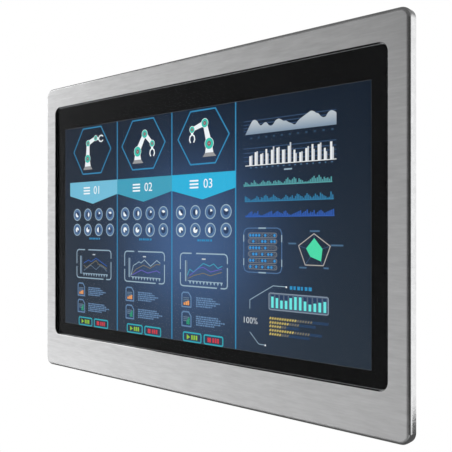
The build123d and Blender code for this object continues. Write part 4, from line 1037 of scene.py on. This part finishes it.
# %% Room light
BAND_LEFT, BAND_RIGHT, UPPER, LOWER, SWEEP, SIDE_SWEEP, HIGH_SWEEP = 0.96, 0.067, 0.22, 0.26, 1.0, 1.7, 0.25
world = bpy.data.worlds.new("Room")
bpy.context.scene.world = world
world.use_nodes = True
tree = world.node_tree
tree.nodes.clear()
toward = split_xyz(tree, place_of(tree, "Generated"))
upper = ease(tree, toward["Z"], 0.20, 0.46, 0.0, 1.0)
lower = ease(tree, toward["Z"], -0.46, -0.20, 1.0, 0.0)
level = math_node(tree, "SUBTRACT", math_node(tree, "SUBTRACT", 1.0, upper), lower)
front = math_node(tree, "MULTIPLY", level, ease(tree, toward["X"], -0.42, -0.02, BAND_LEFT, BAND_RIGHT))
front = math_node(tree, "MULTIPLY_ADD", upper, UPPER, front)
front = math_node(tree, "MULTIPLY_ADD", lower, LOWER, front)
behind = ease(tree, toward["Y"], -0.22, 0.18, 0.0, 1.0)
front = math_node(tree, "MULTIPLY", front, math_node(tree, "SUBTRACT", 1.0, behind))
behind = math_node(tree, "MULTIPLY", behind, ease(tree, toward["X"], 0.15, 0.50, SWEEP, SIDE_SWEEP))
behind = math_node(tree, "MULTIPLY", behind, ease(tree, toward["Z"], 0.30, 0.60, 1.0, HIGH_SWEEP))
room = add(tree, "ShaderNodeBackground", {"Strength": math_node(tree, "ADD", behind, front)})
white = add(tree, "ShaderNodeBackground", {"Color": (1.0, 1.0, 1.0, 1.0)})
ray = add(tree, "ShaderNodeLightPath").outputs
choose = add(tree, "ShaderNodeMixShader", {"Fac": ray["Is Camera Ray"], 1: room.outputs[0],
                                           2: white.outputs[0]})
add(tree, "ShaderNodeOutputWorld", {"Surface": choose.outputs[0]})


def soft_light(name, spot, width, height, watts):
    """A rectangular soft light that faces the panel's middle and that the camera doesn't see."""
    lamp = bpy.data.lights.new(name, "AREA")
    lamp.shape = "RECTANGLE"
    lamp.size = width
    lamp.size_y = height
    lamp.energy = watts
    holder = bpy.data.objects.new(name, lamp)
    holder.location = spot
    holder.rotation_euler = (Vector((0, -0.05, 0)) - Vector(spot)).to_track_quat("-Z", "Y").to_euler()
    holder.visible_camera = False
    bpy.context.collection.objects.link(holder)


LIGHTS = (("left_high", (-1.55, -0.42, 0.75), 0.5, 0.8, 4.2),
          ("left_level", (-1.55, -0.42, 0.0), 0.5, 0.8, 2.1),
          ("left_low", (-1.1, -0.6, -0.60), 0.6, 0.6, 1.3),
          ("front_low", (-0.55, -0.75, -0.60), 1.0, 0.3, 0.9))
for light in LIGHTS:
    soft_light(*light)
print(len(LIGHTS), "soft lights")

# %% [markdown]
# ## Camera
# The camera stands to the right of the panel and close, so the near edge looms. It looks level, which keeps
# upright edges upright, and a small shift of the lens centres the panel.

# %% Camera
TURN, DISTANCE_X, DISTANCE_Y = math.radians(41.3), 0.3933, 0.3956
camera_data = bpy.data.cameras.new("camera")
camera_data.lens = 53.06
camera_data.sensor_width = 36.0
camera_data.shift_y = 0.0055
camera = bpy.data.objects.new("camera", camera_data)
camera.location = (DISTANCE_X, front_low.y - DISTANCE_Y, -0.0017)
camera.rotation_euler = (math.radians(90), 0.0, TURN)
bpy.context.collection.objects.link(camera)
bpy.context.scene.camera = camera
bpy.context.scene.view_settings.view_transform = "Standard"
print("camera turned", round(math.degrees(TURN), 1), "degrees")
